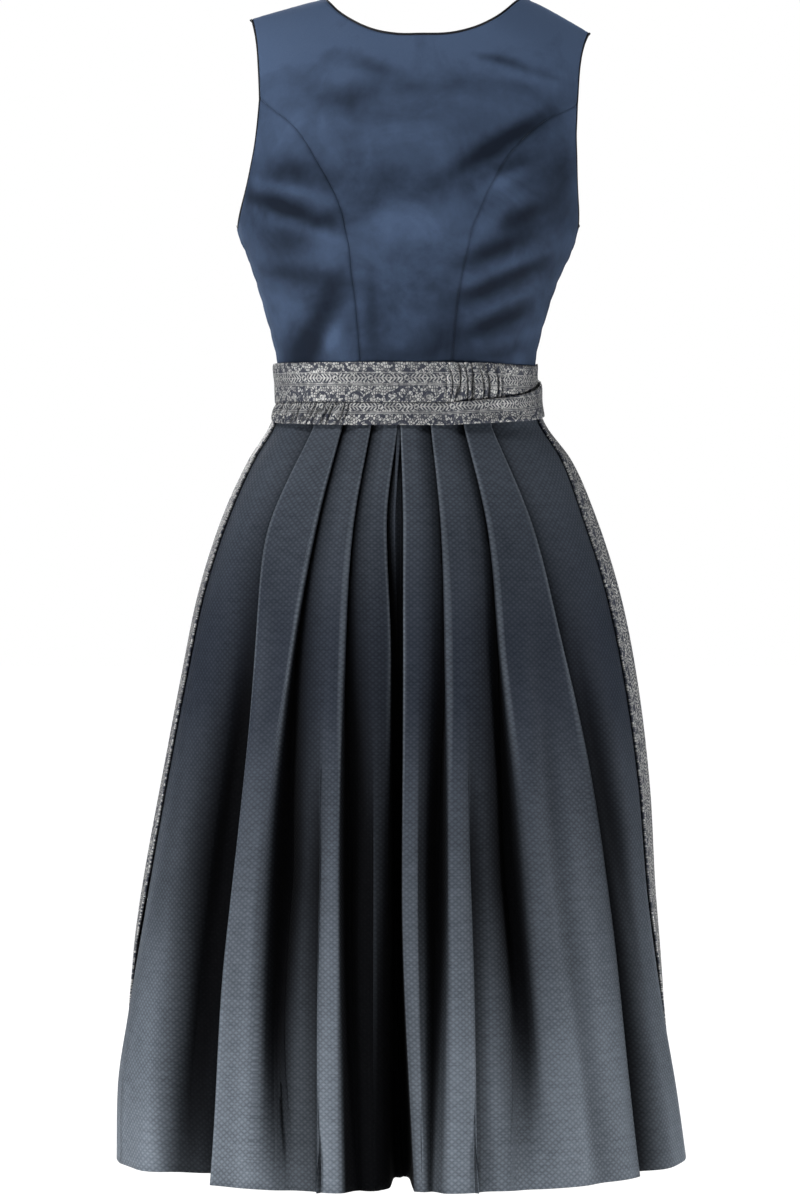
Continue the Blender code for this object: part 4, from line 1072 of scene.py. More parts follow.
def make_satin():
    finish = Finish("piping", Specular_IOR_Level=0.25, Sheen_Weight=0.05, Sheen_Roughness=0.4)
    u, v = finish.flat()
    rib = (u + v * RIB.slant).zigzag(RIB.pitch)
    uneven = finish.noise(finish.vector(u, v), scale=160.0, detail=2.0)
    finish.colour(finish.mix(rib * 0.35 + uneven * 0.3, PIPING_BLACK, PIPING_RIB))
    finish.roughness(0.42 + uneven * 0.2)
    finish.relief(rib, depth=0.00012, strength=0.5)
    return finish.material


satin = make_satin()

# %% Piping rings
PIPING_SIDES = 12
CORD_RADIUS = 0.0012        # pulled flat by the satin, so a little thinner than the solid


def add_piping(name, spots, sign, node):
    points = bodice_point(spots[:, 0], spots[:, 1])
    normals = bodice_normal(spots[:, 0], spots[:, 1])
    along_edge = unit(np.roll(points, -1, axis=0) - np.roll(points, 1, axis=0))
    away = unit(sign * np.cross(normals, along_edge))
    centres = points + normals * VELVET / 2 + away * CORD_RADIUS
    up = unit(np.cross(along_edge, away))
    turns = np.linspace(0, 2 * math.pi, PIPING_SIDES, endpoint=False)
    ring = centres[:, None] + CORD_RADIUS * (np.cos(turns)[None, :, None] * away[:, None]
                                             + np.sin(turns)[None, :, None] * up[:, None])
    count = len(centres)
    here = np.arange(count)[:, None] * PIPING_SIDES
    there = (np.arange(count) + 1)[:, None] % count * PIPING_SIDES
    j = np.arange(PIPING_SIDES)[None]
    after = (j + 1) % PIPING_SIDES
    faces = np.stack([here + j, here + after, there + after, there + j], axis=-1).reshape(-1, 4)
    way = way_along(np.concatenate([centres, centres[:1]]))
    girth = 2 * math.pi * CORD_RADIUS * np.arange(PIPING_SIDES + 1) / PIPING_SIDES
    k = np.repeat(np.arange(count), PIPING_SIDES)
    side = np.tile(np.arange(PIPING_SIDES), count)
    flat = np.stack([np.stack([way[k + a], girth[side + b]], axis=1)
                     for a, b in ((0, 0), (0, 1), (1, 1), (1, 0))], axis=1)
    dress(closed_piece(name, ring.reshape(-1, 3), faces, flat, satin), "piping", node)


def add_all_piping():
    left, right = lines.side["left"], lines.side["right"]
    neck = joined(lines.back_neck, right.front_neck, left.front_neck[::-1])[:-1]
    add_piping("cord_neck", neck, 1, "neck_piping")
    for side, line in lines.side.items():
        front = joined(line.front_armhole_upper, line.front_armhole_lower)[::-1]
        ring = joined(line.back_armhole_upper, line.back_armhole_lower, front)[:-1]
        add_piping("cord_armhole_" + side, ring, -1 if side == "left" else 1,
                   "armhole_piping_" + side)


add_all_piping()

# %% [markdown]
# ## Skirt
#
# The skirt is a straight length of dobby cloth, pleated into the waist seam. At the waist every
# pleat is pressed shut in three layers. Lower down it opens, and the cloth beside its pressed edge
# falls back into a soft valley. Some edges stay crisp to the hem, others roll softly near it. The
# weave is a small honeycomb, whose floats shine a little more than its ground.

# %% Dobby cloth
SKIRT_GROUND = (0.0120, 0.0160, 0.0240)
SKIRT_FLOAT = (0.0410, 0.0495, 0.0680)
LOW_GROUND = (0.0820, 0.0960, 0.1140)       # the hem hangs nearest the light
LOW_FLOAT = (0.2550, 0.2930, 0.3420)
SKIRT_HIDDEN = (0.0010, 0.0012, 0.0018)     # deep in a pleat, where no light comes
HONEYCOMB = SimpleNamespace(width=0.0060, height=0.0052, wall=(0.0, 0.16), heart=(0.012, 0.050))
WARP, WEFT = 0.00046, 0.00052
SHUT, SHUT_CURVE = (0.02, 0.62), 2.2        # how much painted shade a place has before it is quite dark
LIT_LOW, LIT_HIGH = (-1.04, -0.64), (-0.58, -0.43)      # heights that hang in the light


def staggered(u, v, width, height):
    """Squared distances to the nearest points of two lattices, each in the other's gaps."""
    pair = []
    for shift in (0.0, 0.5):
        across = (u + shift * width).repeat(width) * (1 / width)
        down = (v + shift * height).repeat(height) * (1 / height)
        pair.append(across * across + down * down)
    return pair


def make_dobby():
    finish = Finish("dobby", Specular_IOR_Level=0.08)
    u, v = finish.flat()
    one, two = staggered(u, v, HONEYCOMB.width, HONEYCOMB.height)
    nearest = one.least(two)
    wall = abs(one - two).fade(*HONEYCOMB.wall)
    heart = nearest.fade(*HONEYCOMB.heart)
    threads = v.zigzag(WEFT) * 0.6 + u.zigzag(WARP) * 0.4
    uneven = finish.noise(finish.vector(u * 0.35, v), scale=190.0, detail=2.0)
    slub = finish.noise(finish.vector(u * 0.12, v), scale=900.0, detail=1.0)
    drift = finish.noise(finish.vector(u, v), scale=9.0, detail=2.0)
    floats = (0.46 + heart * 0.26 - wall * 0.22 + (threads - 0.5) * 0.22
              + (uneven - 0.5) * 0.5 + (slub - 0.5) * 0.45 + (drift - 0.5) * 0.55)
    # painted shade: deep pleat valleys and crease troughs are painted near black
    painted_shade = finish.stored("painted_shade")
    open_share = painted_shade.fade(*SHUT) ** SHUT_CURVE
    *_, z = finish.place()
    low, high = z.fade(*LIT_LOW), z.rise(*LIT_HIGH)
    # painted highlight on crisp pleat edges and on crease ridges
    painted_highlight = finish.stored("painted_highlight")
    cloth = finish.mix(floats.rise(0.0, 1.0), SKIRT_GROUND, SKIRT_FLOAT)
    # painted light: the hem, the top below the ties, crisp edges and crease ridges take the lighter
    # copy of the cloth
    painted_light = (low * 0.85).most(high * 0.20).most(painted_highlight * (0.15 + 0.35 * z.rise(-0.90, -0.60)))
    cloth = finish.mix(painted_light, cloth, finish.mix(floats.rise(0.0, 1.0), LOW_GROUND, LOW_FLOAT))
    finish.colour(finish.mix(open_share, SKIRT_HIDDEN, cloth))
    closed = 1.0 - open_share
    finish.roughness(0.56 - heart * 0.10 + wall * 0.08 + (uneven - 0.5) * 0.12 + closed * 0.40)
    finish.relief(heart * 0.7 - wall * 0.6 + threads * 0.25, depth=0.00022, strength=0.6)
    return finish.material


dobby = make_dobby()

# %% [markdown]
# One row of the skirt is a line of corners. Each corner is rounded over its own length: a pressed
# edge over a millimetre or two, and the floor of a valley over as much as there is room for. The
# same number of points goes into every corner of every row, so a column of points follows its
# fold from the waist to the hem.

# %% Corners of one pleat
CRISP, SOFT = 0.0016, 0.050     # how far from its corner a pressed and a soft bend begin
RUN_POINTS, CORNER_POINTS = 2, 4
PLEAT_SOFTNESS = (0.020, CRISP, 0.010, 0.014, SOFT, SOFT, SOFT, SOFT)
# The next pleat begins past the mouth of a shut one, in even steps over its valley.
MOUTH_SHARE, SHUT_SLOPE = 0.35, np.array([0, 0.2, 0.4])
# A valley shallower than this has melted: its walls lie flatter, by shares of its width, and its
# edge is softer.
MELTS_BELOW = 0.024
MELTED_WALL = np.array([0.12, 0.24, 0.26, 0.24, 0.16, 0.08])
MELTED_EDGE = 0.020
# Where edges begin to roll and where they have rolled, how far they stand back by then, as a share
# of the valley, and how much softer they are.
ROLL = SimpleNamespace(top=-0.560, full=-0.860, drop=0.16, softness=0.014)
PLEAT_CORNERS = ("panel", "edge", "wall", "wall", "floor", "rise", "slope", "slope")
EDGE_SHINE = np.array([0.35, 1.0, 1.0, 0.35])   # the painted highlight across a crisp edge
DIM_ENDS = 0.15             # a pleat's own shade fades within this share of it at each end


def evenly(start, end, count):
    """That many values between two, at even steps."""
    return np.linspace(start, end, count + 2)[1:-1]


def melted(depth, opened):
    """How far an open fold has melted away, from 0 where it is deep to 1 where it is shallow."""
    return opened * (1 - eased(depth / MELTS_BELOW))


def fold_points(fold, valley, panel, opened, depth, facing, rolled):
    """The corners of one pleat as (way past its crisp edge, depth below the outline)."""
    shut = SHUT_PLEAT * [fold.tuck, PLEAT_LAYER]
    shut[5:, 0] = np.minimum(VALLEY_MOUTH, MOUTH_SHARE * valley) + valley * SHUT_SLOPE
    wide = (FACING_PLEAT if facing else OPEN_PLEAT) * [valley, depth]
    wide[0, 0] = OPEN_PLEAT[0, 0] * panel
    wide[1, 1] = ROLL.drop * rolled * depth
    wide[2:, 0] += valley * melted(depth, opened) * MELTED_WALL
    mixed = (1 - opened) * shut + opened * wide
    mixed[2:6, 1] = np.maximum(mixed[2:6, 1], shut[2:6, 1])
    return mixed

# %% A line round the corners
BEND_ROOM = 0.48            # a bend takes at most this share of the run on each side of it


def rounded(corners, softness):
    """A smooth line round the corners, with a fixed number of points in each corner and run."""
    corners = np.asarray(corners, float)
    runs = np.diff(corners, axis=0)
    lengths = np.linalg.norm(runs, axis=1)
    ahead = runs / np.maximum(lengths, 1e-9)[:, None]
    line = [corners[:1]]
    leaving = corners[0]
    for i in range(1, len(corners) - 1):
        before = min(softness[i], BEND_ROOM * lengths[i - 1])
        after = min(softness[i], BEND_ROOM * lengths[i])
        enter = corners[i] - before * ahead[i - 1]
        share = evenly(0, 1, RUN_POINTS)[:, None]
        line.append(leaving + share * (enter - leaving))
        t = np.linspace(0, 1, CORNER_POINTS)[:, None]
        leaving = corners[i] + after * ahead[i]
        line.append((1 - t) ** 2 * enter + 2 * t * (1 - t) * corners[i] + t * t * leaving)
    share = evenly(0, 1, RUN_POINTS)[:, None]
    line.append(leaving + share * (corners[-1] - leaving))
    line.append(corners[-1:])
    return np.concatenate(line)


def between_levels(z, at_knee, at_hem):
    """A fold's size at a height, from its sizes at the knee and at the hem."""
    return float(smooth(np.array([HEM_Z, KNEE_Z]), np.array([at_hem, at_knee]), z))

# %% Painted shade and highlight along a row
# The light grazes the skirt, so an open valley is darker than it is deep.
SHADE_SHUT, SHADE_OPEN = 0.5, 1.5
LEAST_APART = 0.0015        # keeps neighbours in a steep wall from hiding each other whole


def hidden_share(line, deepened):
    """How far each point of a row is shut in by the cloth beside it, from 0 open to 1 shut; it sets
    the painted shade.
    """
    way, depth = line[:, 0], line[:, 1] * deepened
    apart = way[None, :] - way[:, None]
    higher = depth[:, None] - depth[None, :]
    steep = np.clip(higher / np.maximum(np.abs(apart), LEAST_APART), 0, None)
    left = np.where(apart < 0, steep, 0).max(axis=1)
    right = np.where(apart > 0, steep, 0).max(axis=1)
    return (np.arctan(left) + np.arctan(right)) / math.pi


def edge_shine(kinds, crisp):
    """The painted highlight at each point of a row: full on a crisp edge, none elsewhere."""
    block = RUN_POINTS + CORNER_POINTS
    shine = np.zeros(2 + (len(kinds) - 2) * block + RUN_POINTS)
    edges = [i for i, kind in enumerate(kinds) if kind == "edge"]
    for i, share in zip(edges, crisp):
        first = 1 + (i - 1) * block + RUN_POINTS
        shine[first:first + CORNER_POINTS] = share * EDGE_SHINE
    return shine

# %% One row of the skirt
def skirt_row(z, crests, folds, start, end):
    """The line of one half of the skirt as (way, depth), the kinds of its corners, and the painted
    shade and the painted highlight of each of its points."""
    opened = float(smooth(PLEAT_OPENING.z, PLEAT_OPENING.open, z))
    grown = float(smooth(PLEAT_OPENING.z, PLEAT_OPENING.depth_share, z))
    slack = float(eased((ROLL.top - z) / (ROLL.top - ROLL.full)))
    stops = np.concatenate([[start], crests, [end]])
    lowered = [grown * between_levels(z, fold.low_knee, fold.low_hem) for fold in folds]
    corners, softness, kinds = [(start, 0.0)], [0.0], ["end"]
    for i, fold in enumerate(folds):
        before, after = stops[i + 1] - stops[i], stops[i + 2] - stops[i + 1]
        depth = max(grown * between_levels(z, fold.knee, fold.hem), 2 * PLEAT_LAYER)
        soft, kind = list(PLEAT_SOFTNESS), list(PLEAT_CORNERS)
        soft[1:4] = [size + MELTED_EDGE * melted(depth, opened) for size in soft[1:4]]
        soft[1] += ROLL.softness * fold.roll * slack
        beside = i + int(fold.toward)
        facing = 0 <= beside < len(folds) and folds[beside].toward != fold.toward
        valley, panel = (after, before) if fold.toward > 0 else (before, after)
        pleat = fold_points(fold, valley, panel, opened, depth, facing, fold.roll * slack)
        if fold.toward < 0:
            pleat, soft, kind = pleat[::-1] * [-1, 1], soft[::-1], kind[::-1]
        fresh = [(stops[i + 1] + way, deep) for way, deep in pleat]
        middle = [(corners[-1][k] + fresh[0][k]) / 2 for k in (0, 1)]
        corners += [tuple(middle), *fresh]
        softness += [SOFT, *soft]
        kinds += ["middle", *kind]
    corners += [((corners[-1][0] + end) / 2, corners[-1][1] / 2), (end, 0.0)]
    softness += [SOFT, 0.0]
    kinds += ["middle", "end"]
    corners = np.array(corners)
    corners[:, 1] += np.interp(corners[:, 0], stops, [0, *lowered, 0])
    line = rounded(corners, softness)
    shade = hidden_share(line, SHADE_SHUT + (SHADE_OPEN - SHADE_SHUT) * opened)
    dim = [opened * between_levels(z, fold.dim_knee, fold.dim_hem) for fold in folds]
    for before, after, extra in zip(stops, stops[1:], dim):
        inside = (line[:, 0] - before) / (after - before)
        shade = shade + extra * eased(inside / DIM_ENDS) * eased((1 - inside) / DIM_ENDS)
    crisp = [(1 - melted(grown * between_levels(z, fold.knee, fold.hem), opened)) ** 2
             * (1 - fold.roll * slack)
             for fold in folds]
    return line, kinds, shade, edge_shine(kinds, crisp)

# %% Creases that hang in the skirt
# Each is a soft ridge (height above 0) or trough that runs down the back: x at its top and at its
# foot, the heights between which it lies, its half width and its height.
SKIRT_CREASES = [
    (0.128, 0.176, -0.440, -0.900, 0.011, 0.0043), (0.140, 0.218, -0.470, -1.063, 0.014, -0.0072),
    (0.152, 0.246, -0.520, -1.063, 0.012, 0.0054), (0.106, 0.124, -0.560, -1.063, 0.010, 0.0040),
    (0.088, 0.098, -0.640, -1.063, 0.009, -0.0047), (0.052, 0.050, -0.700, -1.063, 0.008, 0.0032),
    (-0.036, -0.060, -0.640, -1.063, 0.008, -0.0047), (-0.046, -0.082, -0.540, -1.063, 0.009, 0.0043),
    (-0.084, -0.142, -0.520, -1.000, 0.010, 0.0043), (-0.094, -0.160, -0.560, -1.063, 0.012, -0.0061),
    (-0.112, -0.214, -0.470, -1.063, 0.010, 0.0043), (-0.124, -0.226, -0.520, -0.960, 0.010, -0.0047),
]
TROUGH_SHADE, RIDGE_SHINE = 28.0, 45.0      # painted shade in a trough and painted highlight on a ridge, by metre of a crease's height
CREASE_SWAY = 0.003         # how far a crease wanders from its straight line
# Shares of a crease's length in which it grows and fades, and how its width grows downward.
HANG = SimpleNamespace(grown_by=0.35, fades_from=0.9, fades_over=0.4, width_top=0.7, widens=0.6)
SEAM_CALM = 0.05            # the creases fade within this of the side seams, ...
FRONT_CALM = 0.03           # ... and within this of the front half


def hanging_creases(points, creases):
    """Outward heights of the creases at the points of one half; they end before its seams."""
    x, z = points[..., 0], points[..., 2]
    height = np.zeros_like(x)
    for top_x, foot_x, top_z, foot_z, width, peak in creases:
        share = (top_z - z) / (top_z - foot_z)
        middle = top_x + (foot_x - top_x) * share + CREASE_SWAY * np.sin(9 * z + 40 * top_x)
        reach = eased(share / HANG.grown_by) * (
            1 - eased((share - HANG.fades_from) / HANG.fades_over))
        grown = width * (HANG.width_top + HANG.widens * np.clip(share, 0, 1))
        height += peak * reach * np.exp(-((x - middle) / grown) ** 2)
    from_seam = np.minimum(np.linalg.norm(points - points[:, :1], axis=-1),
                           np.linalg.norm(points - points[:, -1:], axis=-1))
    return height * eased(points[..., 1] / FRONT_CALM) * eased(from_seam / SEAM_CALM)

# %% Heights, thickness and flat map of the skirt
BACK_ROWS, FRONT_ROWS = 104, 70
SKIRT_TOP_Z = WAIST_Z - 0.0005
ROWS_CROWD = 1.12           # above 1 the rows lie closer at the waist than at the hem
MITER_LEAST, MITER_MOST = 0.6, 1.4      # how far a sharp corner may push the cloth's faces


def skirt_heights(rows):
    return SKIRT_TOP_Z + (HEM_Z - SKIRT_TOP_Z) * np.linspace(0, 1, rows) ** ROWS_CROWD


def both_sides(line, half):
    """The line moved out and in by half the cloth's thickness, square to it in its plane."""
    step = unit(np.diff(line[:, :2], axis=0))
    before = np.concatenate([step[:1], step])
    after = np.concatenate([step, step[-1:]])
    middle = unit(before + after + 1e-9)
    normal = np.stack([middle[:, 1], -middle[:, 0]], axis=1)
    stretch = np.minimum(1 / np.maximum(np.sum(middle * after, axis=1), MITER_LEAST), MITER_MOST)
    shift = np.zeros_like(line)
    shift[:, :2] = normal * (half * stretch)[:, None]
    return line + shift, line - shift


def pleated_map(centre, kinds):
    """Flat places in metres, measured from each pressed edge. Two of these maps meet where a valley
    is deepest, or else at the next pressed edge."""
    cols = centre.shape[1]
    block = RUN_POINTS + CORNER_POINTS
    first = {i: 1 + (i - 1) * block + RUN_POINTS for i in range(1, len(kinds) - 1)}
    edges = [first[i] + CORNER_POINTS // 2 for i, kind in enumerate(kinds) if kind == "edge"]
    floors = [first[i] + CORNER_POINTS // 2 for i, kind in enumerate(kinds) if kind == "floor"]
    u, v = np.moveaxis(grid_lengths(centre), -1, 0)
    level = u.mean(axis=0)
    flat = np.empty_like(u)
    owner = np.zeros(cols, int)
    for k in range(len(edges) - 1):
        between = [f for f in floors if edges[k] < f < edges[k + 1]]
        owner[between[0] if between else edges[k + 1] - 1:] = k + 1
    for k, edge in enumerate(edges):
        mine = owner == k
        flat[:, mine] = level[edge] + u[:, mine] - u[:, edge:edge + 1]
    return np.stack([flat, np.repeat(v.mean(axis=1, keepdims=True), cols, axis=1)], axis=-1)

# %% Both halves of the skirt
def build_skirt(name, rows, folds, crest_ways, ends, creases, node):
    outer, inner, centre, painted_shade, painted_highlight = [], [], [], [], []
    for z in skirt_heights(rows):
        ring = Round(z)
        start, end = ends(ring)
        flat_line, kinds, shade, shine = skirt_row(z, crest_ways(ring, z), folds, start, end)
        line = ring.point(flat_line[:, 0], -flat_line[:, 1])
        moved = both_sides(line, SKIRT_CLOTH / 2)
        centre.append(line)
        outer.append(moved[0])
        inner.append(moved[1])
        painted_shade.append(shade)
        painted_highlight.append(shine)
    outer, inner, centre = np.array(outer), np.array(inner), np.array(centre)
    lift = hanging_creases(centre, creases)
    shift = unit(outer - inner) * lift[..., None]
    uv = pleated_map(centre, kinds)
    piece = cloth_sheet(name, outer + shift, inner + shift, uv, dobby)
    # painted shade in valleys and crease troughs, and a painted highlight on crisp edges and crease
    # ridges
    mark(piece, "painted_shade", np.array(painted_shade) + np.maximum(-lift, 0) * TROUGH_SHADE)
    mark(piece, "painted_highlight", np.array(painted_highlight) + np.maximum(lift, 0) * RIDGE_SHINE)
    dress(piece, "jacquard", node)


def add_skirt():
    folds = [SimpleNamespace(**{name: values[i] for name, values in vars(BACK_FOLDS).items()})
             for i in range(len(BACK_FOLDS.toward))]
    edges = np.stack([BACK_FOLDS.x0, BACK_FOLDS.x1, BACK_FOLDS.x2, BACK_FOLDS.x3, BACK_FOLDS.x4])

    def back_crests(ring, z):
        xs = [smooth(FOLD_LEVELS[::-1], column[::-1], z) for column in edges.T]
        return ring.way_at([float(angle_of(x, z, 1)) for x in xs])

    def back_ends(ring):
        start, end = ring.way_at([SKIRT_LEFT_SEAM, SKIRT_RIGHT_SEAM])
        return start + SEAM_GAP / 3, end - SEAM_GAP / 3

    def front_ends(ring):
        start = ring.way_at(SKIRT_RIGHT_SEAM - 2 * math.pi) + SEAM_GAP / 3
        return start, ring.way_at(SKIRT_LEFT_SEAM) - SEAM_GAP / 3

    def front_crests(ring, z):
        start, end = front_ends(ring)
        shares = (np.arange(FRONT_FOLD_COUNT) + 0.5) / FRONT_FOLD_COUNT
        return start + shares * (end - start)

    half = FRONT_FOLD_COUNT // 2
    front_folds = [SimpleNamespace(toward=1 if i < half else -1, tuck=FRONT_TUCK,
                                   knee=FRONT_KNEE_DEPTH, hem=FRONT_HEM_DEPTH,
                                   low_knee=0.0, low_hem=0.0, dim_knee=0.0, dim_hem=0.0,
                                   roll=0.5)
                   for i in range(FRONT_FOLD_COUNT)]
    build_skirt("cloth_skirt_back", BACK_ROWS, folds, back_crests, back_ends, SKIRT_CREASES,
                "skirt_back")
    build_skirt("cloth_skirt_front", FRONT_ROWS, front_folds, front_crests, front_ends, [],
                "skirt_front")


add_skirt()

# %% [markdown]
# ## Brocade
#
# Apron and ties share one brocade: silver leaves and blossoms on a navy ground, in long stripes
# with thin lines between them. One stripe has full scallops, one a vine of small leaf pairs with
# open rosettes, and the widest has curved stems round small flowers. All of it is made of leaflets
# of about two millimetres, which are the cells of a Voronoi pattern. Each repeat starts half a
# motif lower than the one beside it, so no rows run across the cloth.

# %% Threads and motifs of the brocade
NAVY = (0.0100, 0.0135, 0.0270)
NAVY_PAINTED_SHADE = (0.0030, 0.0036, 0.0055)      # painted shade between two gathers
NAVY_SHINE = (0.0260, 0.0330, 0.0580)
SILVER_DIM = (0.170, 0.172, 0.168)
SILVER = (0.560, 0.562, 0.545)
# One repeat of the stripes, measured across it in metres, and the sizes of their motifs. A pair is
# where the edge of a mask starts and where it ends.
STRIPES = SimpleNamespace(repeat=0.0370, motif=0.0330, lines=(0.0095, 0.0193, 0.0207),
                          line_edge=(0.00025, 0.00050), scallops_end=(0.0091, 0.0093),
                          vine=((0.0098, 0.0100), (0.0187, 0.0189)), flowers=(0.0213, 0.0215))
LEAFLET = SimpleNamespace(size=0.00230, squash=0.85, uneven=0.9, edge=(0.09, 0.16), dim=(0.10, 0.45))
SCALLOP = SimpleNamespace(foot=0.0092, notch_slope=1.05, notch=(0.0048, 0.0056), rib_slope=0.55,
                          rib_foot=0.0052, rib=(0.0006, 0.0014))
VINE = SimpleNamespace(middle=0.0143, stem=(0.0003, 0.0006), pair=0.0034, slope=0.8,
                       leaf=(0.00060, 0.00100), reach=(0.0030, 0.0038), border=(0.0030, 0.0034))
ROSETTE = SimpleNamespace(hole=(0.0009, 0.0013), rim=(0.0024, 0.0028), room=(0.0032, 0.0038),
                          lobe=0.0005, lobe_turn=1900.0)
FLOWER = SimpleNamespace(middle=0.0315, shift=0.40, squash=1.4, hole=(0.0009, 0.0013),
                         rim=(0.0022, 0.0027), arc=((0.0040, 0.0046), (0.0058, 0.0066)),
                         arc_end=(-0.0005, 0.0010), gap_middle=0.0280, gap_slope=0.8,
                         gap=(0.0006, 0.0012), gap_start=(0.0265, 0.0275))
BROCADE_THREAD = 0.00036

# %% Brocade cloth
def make_brocade(name, lengthwise):
    """Brocade whose stripes run along u, or along v when lengthwise."""
    finish = Finish(name, Specular_IOR_Level=0.5, Sheen_Weight=0.15, Sheen_Roughness=0.4)
    u, v = finish.flat()
    along, across = (v, u) if lengthwise else (u, v)
    half = STRIPES.repeat / 2
    column = (across * (1 / STRIPES.repeat)).floor()
    along = along + column * (STRIPES.motif / 2)
    drift = finish.noise(finish.vector(along, across), scale=70.0, detail=1.0)
    across = (across - half).repeat(STRIPES.repeat) + half + (drift - 0.5) * 0.0008
    here = along.repeat(STRIPES.motif)
    shifted = (along + FLOWER.shift * STRIPES.motif).repeat(STRIPES.motif)
    bent = finish.vector(along + (drift - 0.5) * 0.002, across * LEAFLET.squash)
    cells = {"Vector": bent, "Scale": 1 / LEAFLET.size, "Randomness": LEAFLET.uneven}
    edge = finish.node("TexVoronoi", {"feature": "DISTANCE_TO_EDGE", "voronoi_dimensions": "2D"},
                       cells)
    tone = finish.node("TexVoronoi", {"feature": "F1", "voronoi_dimensions": "2D"}, cells, out=1)
    tone = finish.node("SeparateXYZ", sockets={0: tone})
    leaf = edge.rise(*LEAFLET.edge) * tone.rise(*LEAFLET.dim)

    # scallops: dark triangles stand between them on the first line
    below = SCALLOP.foot - across
    notch = (abs(here) + below * SCALLOP.notch_slope).fade(*SCALLOP.notch)
    rib = (abs(shifted) - below * SCALLOP.rib_slope + SCALLOP.rib_foot).fade(*SCALLOP.rib)
    scallops = leaf * (1.0 - notch) * (1.0 - rib * 0.85)

    # a vine: slanting leaf pairs on a stem, with a small rosette now and then
    down = across - VINE.middle
    far = (here * here + down * down) ** 0.5
    lobes = (here * ROSETTE.lobe_turn).sin() * (down * ROSETTE.lobe_turn).sin()
    ring = (far + lobes * ROSETTE.lobe).between(ROSETTE.hole, ROSETTE.rim)
    arrow = (abs(here) - abs(down) * VINE.slope).fold(VINE.pair) + (drift - 0.5) * 0.0004
    sprig = arrow.fade(*VINE.leaf) * abs(down).fade(*VINE.reach)
    beads = (leaf * abs(down).rise(*VINE.border)).most(sprig).most(
        abs(down).fade(*VINE.stem) * 0.7)
    rosettes = ring.most(beads * far.rise(*ROSETTE.room))

    # stems: a dark curve over each small flower, and a slanting gap between two of them
    drop = across - FLOWER.middle
    reach = (shifted * shifted + drop * drop * FLOWER.squash) ** 0.5
    crescent = reach.between(*FLOWER.arc) * drop.fade(*FLOWER.arc_end)
    heart = reach.between(FLOWER.hole, FLOWER.rim)
    slant = (along + (across - FLOWER.gap_middle) * FLOWER.gap_slope).repeat(STRIPES.motif)
    gap = abs(slant).fade(*FLOWER.gap) * across.rise(*FLOWER.gap_start)
    flowers = (leaf * (1.0 - crescent) * (1.0 - gap)).most(heart * 0.9)

    silver = (scallops * across.fade(*STRIPES.scallops_end)).most(
        rosettes * across.between(*STRIPES.vine)).most(flowers * across.rise(*STRIPES.flowers))
    for place in STRIPES.lines:
        silver = silver.most(abs(across - place).fade(*STRIPES.line_edge) * 0.85)

    threads = v.zigzag(BROCADE_THREAD)
    worn = finish.noise(finish.vector(along, across), scale=1100.0, detail=1.0)
    bright = finish.mix((worn * 0.5 + threads * 0.2 + tone * 0.5).rise(0.25, 0.85), SILVER_DIM,
                        SILVER)
    ground = finish.mix((worn * 0.6 + threads * 0.4).rise(0.2, 0.9), NAVY, NAVY_SHINE)
    # painted shade: between the gathers the cloth is painted dark navy
    painted_shade = finish.stored("painted_shade")
    finish.colour(finish.mix(painted_shade.rise(0.05, 0.80) * 0.9, finish.mix(silver, ground, bright),
                             NAVY_PAINTED_SHADE))
    finish.roughness(0.62 - silver * 0.20)
    plug(finish.tree, finish.shader.inputs["Metallic"], silver * 0.35)
    finish.relief(silver * 0.8 + threads * 0.2, depth=0.00025, strength=0.7)
    return finish.material


brocade_band = make_brocade("brocade_band", False)
brocade_apron = make_brocade("brocade_apron", True)

# %% [markdown]
# ## Apron
#
# The apron is gathered under its waistband. Small uneven gathers fade within a hand's width, and
# broad folds take over below them. Its two long edges wrap a little way round the sides of the
# skirt, where they show from behind. Each has a narrow hem, turned once and stitched.

# %% Gathers, folds and hems of the apron
APRON_ROWS, APRON_COLUMNS = 110, 300
FINE_GATHERS, FINE_HEIGHT, FINE_END_Z = 41, 0.0009, -0.450
SIDE_HEM, FOOT_HEM, HEM_STEP = 0.008, 0.030, 0.0006
SIDE_STEP, FOOT_STEP = 0.0015, 0.0020   # how wide the step up to a hem is
STITCHES = SimpleNamespace(depth=0.0005, width=0.0012)
EDGE_CROWD = SimpleNamespace(share=0.05, columns=30)    # the columns crowd at the side edges
APRON_ROWS_CROWD = 1.25     # above 1 the rows lie closer at the waistband than at the hem
EDGE_TURN, EDGE_REST = 0.015, 0.0024    # how far an edge wraps round, and how near it then lies


def apron_row(z, share):
    """The apron's line at one height: points half way through the cloth."""
    ring = Round(z)
    here = SimpleNamespace(**{name: float(smooth(APRON.z, values, z))
                              for name, values in vars(APRON).items()})
    ends = ring.way_at(np.radians([here.right_end, here.left_end])) + [-EDGE_TURN, EDGE_TURN]
    way = ends[0] + share * (ends[1] - ends[0])
    turned = 1 - eased(np.minimum(way - ends[0], ends[1] - way) / (EDGE_TURN * 1.25))
    inward = eased(np.minimum(share, 1 - share) / APRON_SIDE_SHARE)
    gathers = np.cos(2 * math.pi * (APRON_GATHERS * share + 0.16 * np.sin(31 * share + 1)))
    folds = np.cos(2 * math.pi * (APRON_FOLDS * share + 0.12 * np.sin(9 * share + 4 * z)))
    fine = np.cos(2 * math.pi * (FINE_GATHERS * share + 0.5 * np.sin(17 * share)))
    fading = eased((z - FINE_END_Z) / (APRON_TOP_Z - FINE_END_Z))
    waves = here.gather * gathers + here.fold * folds + FINE_HEIGHT * fading * fine * inward
    side = np.where(share < 0.5, here.right_stand, here.left_stand)
    stand = inward * (here.stand + waves) + (1 - inward) * side
    return ring.point(way, stand + turned * np.minimum(EDGE_REST - stand, 0))


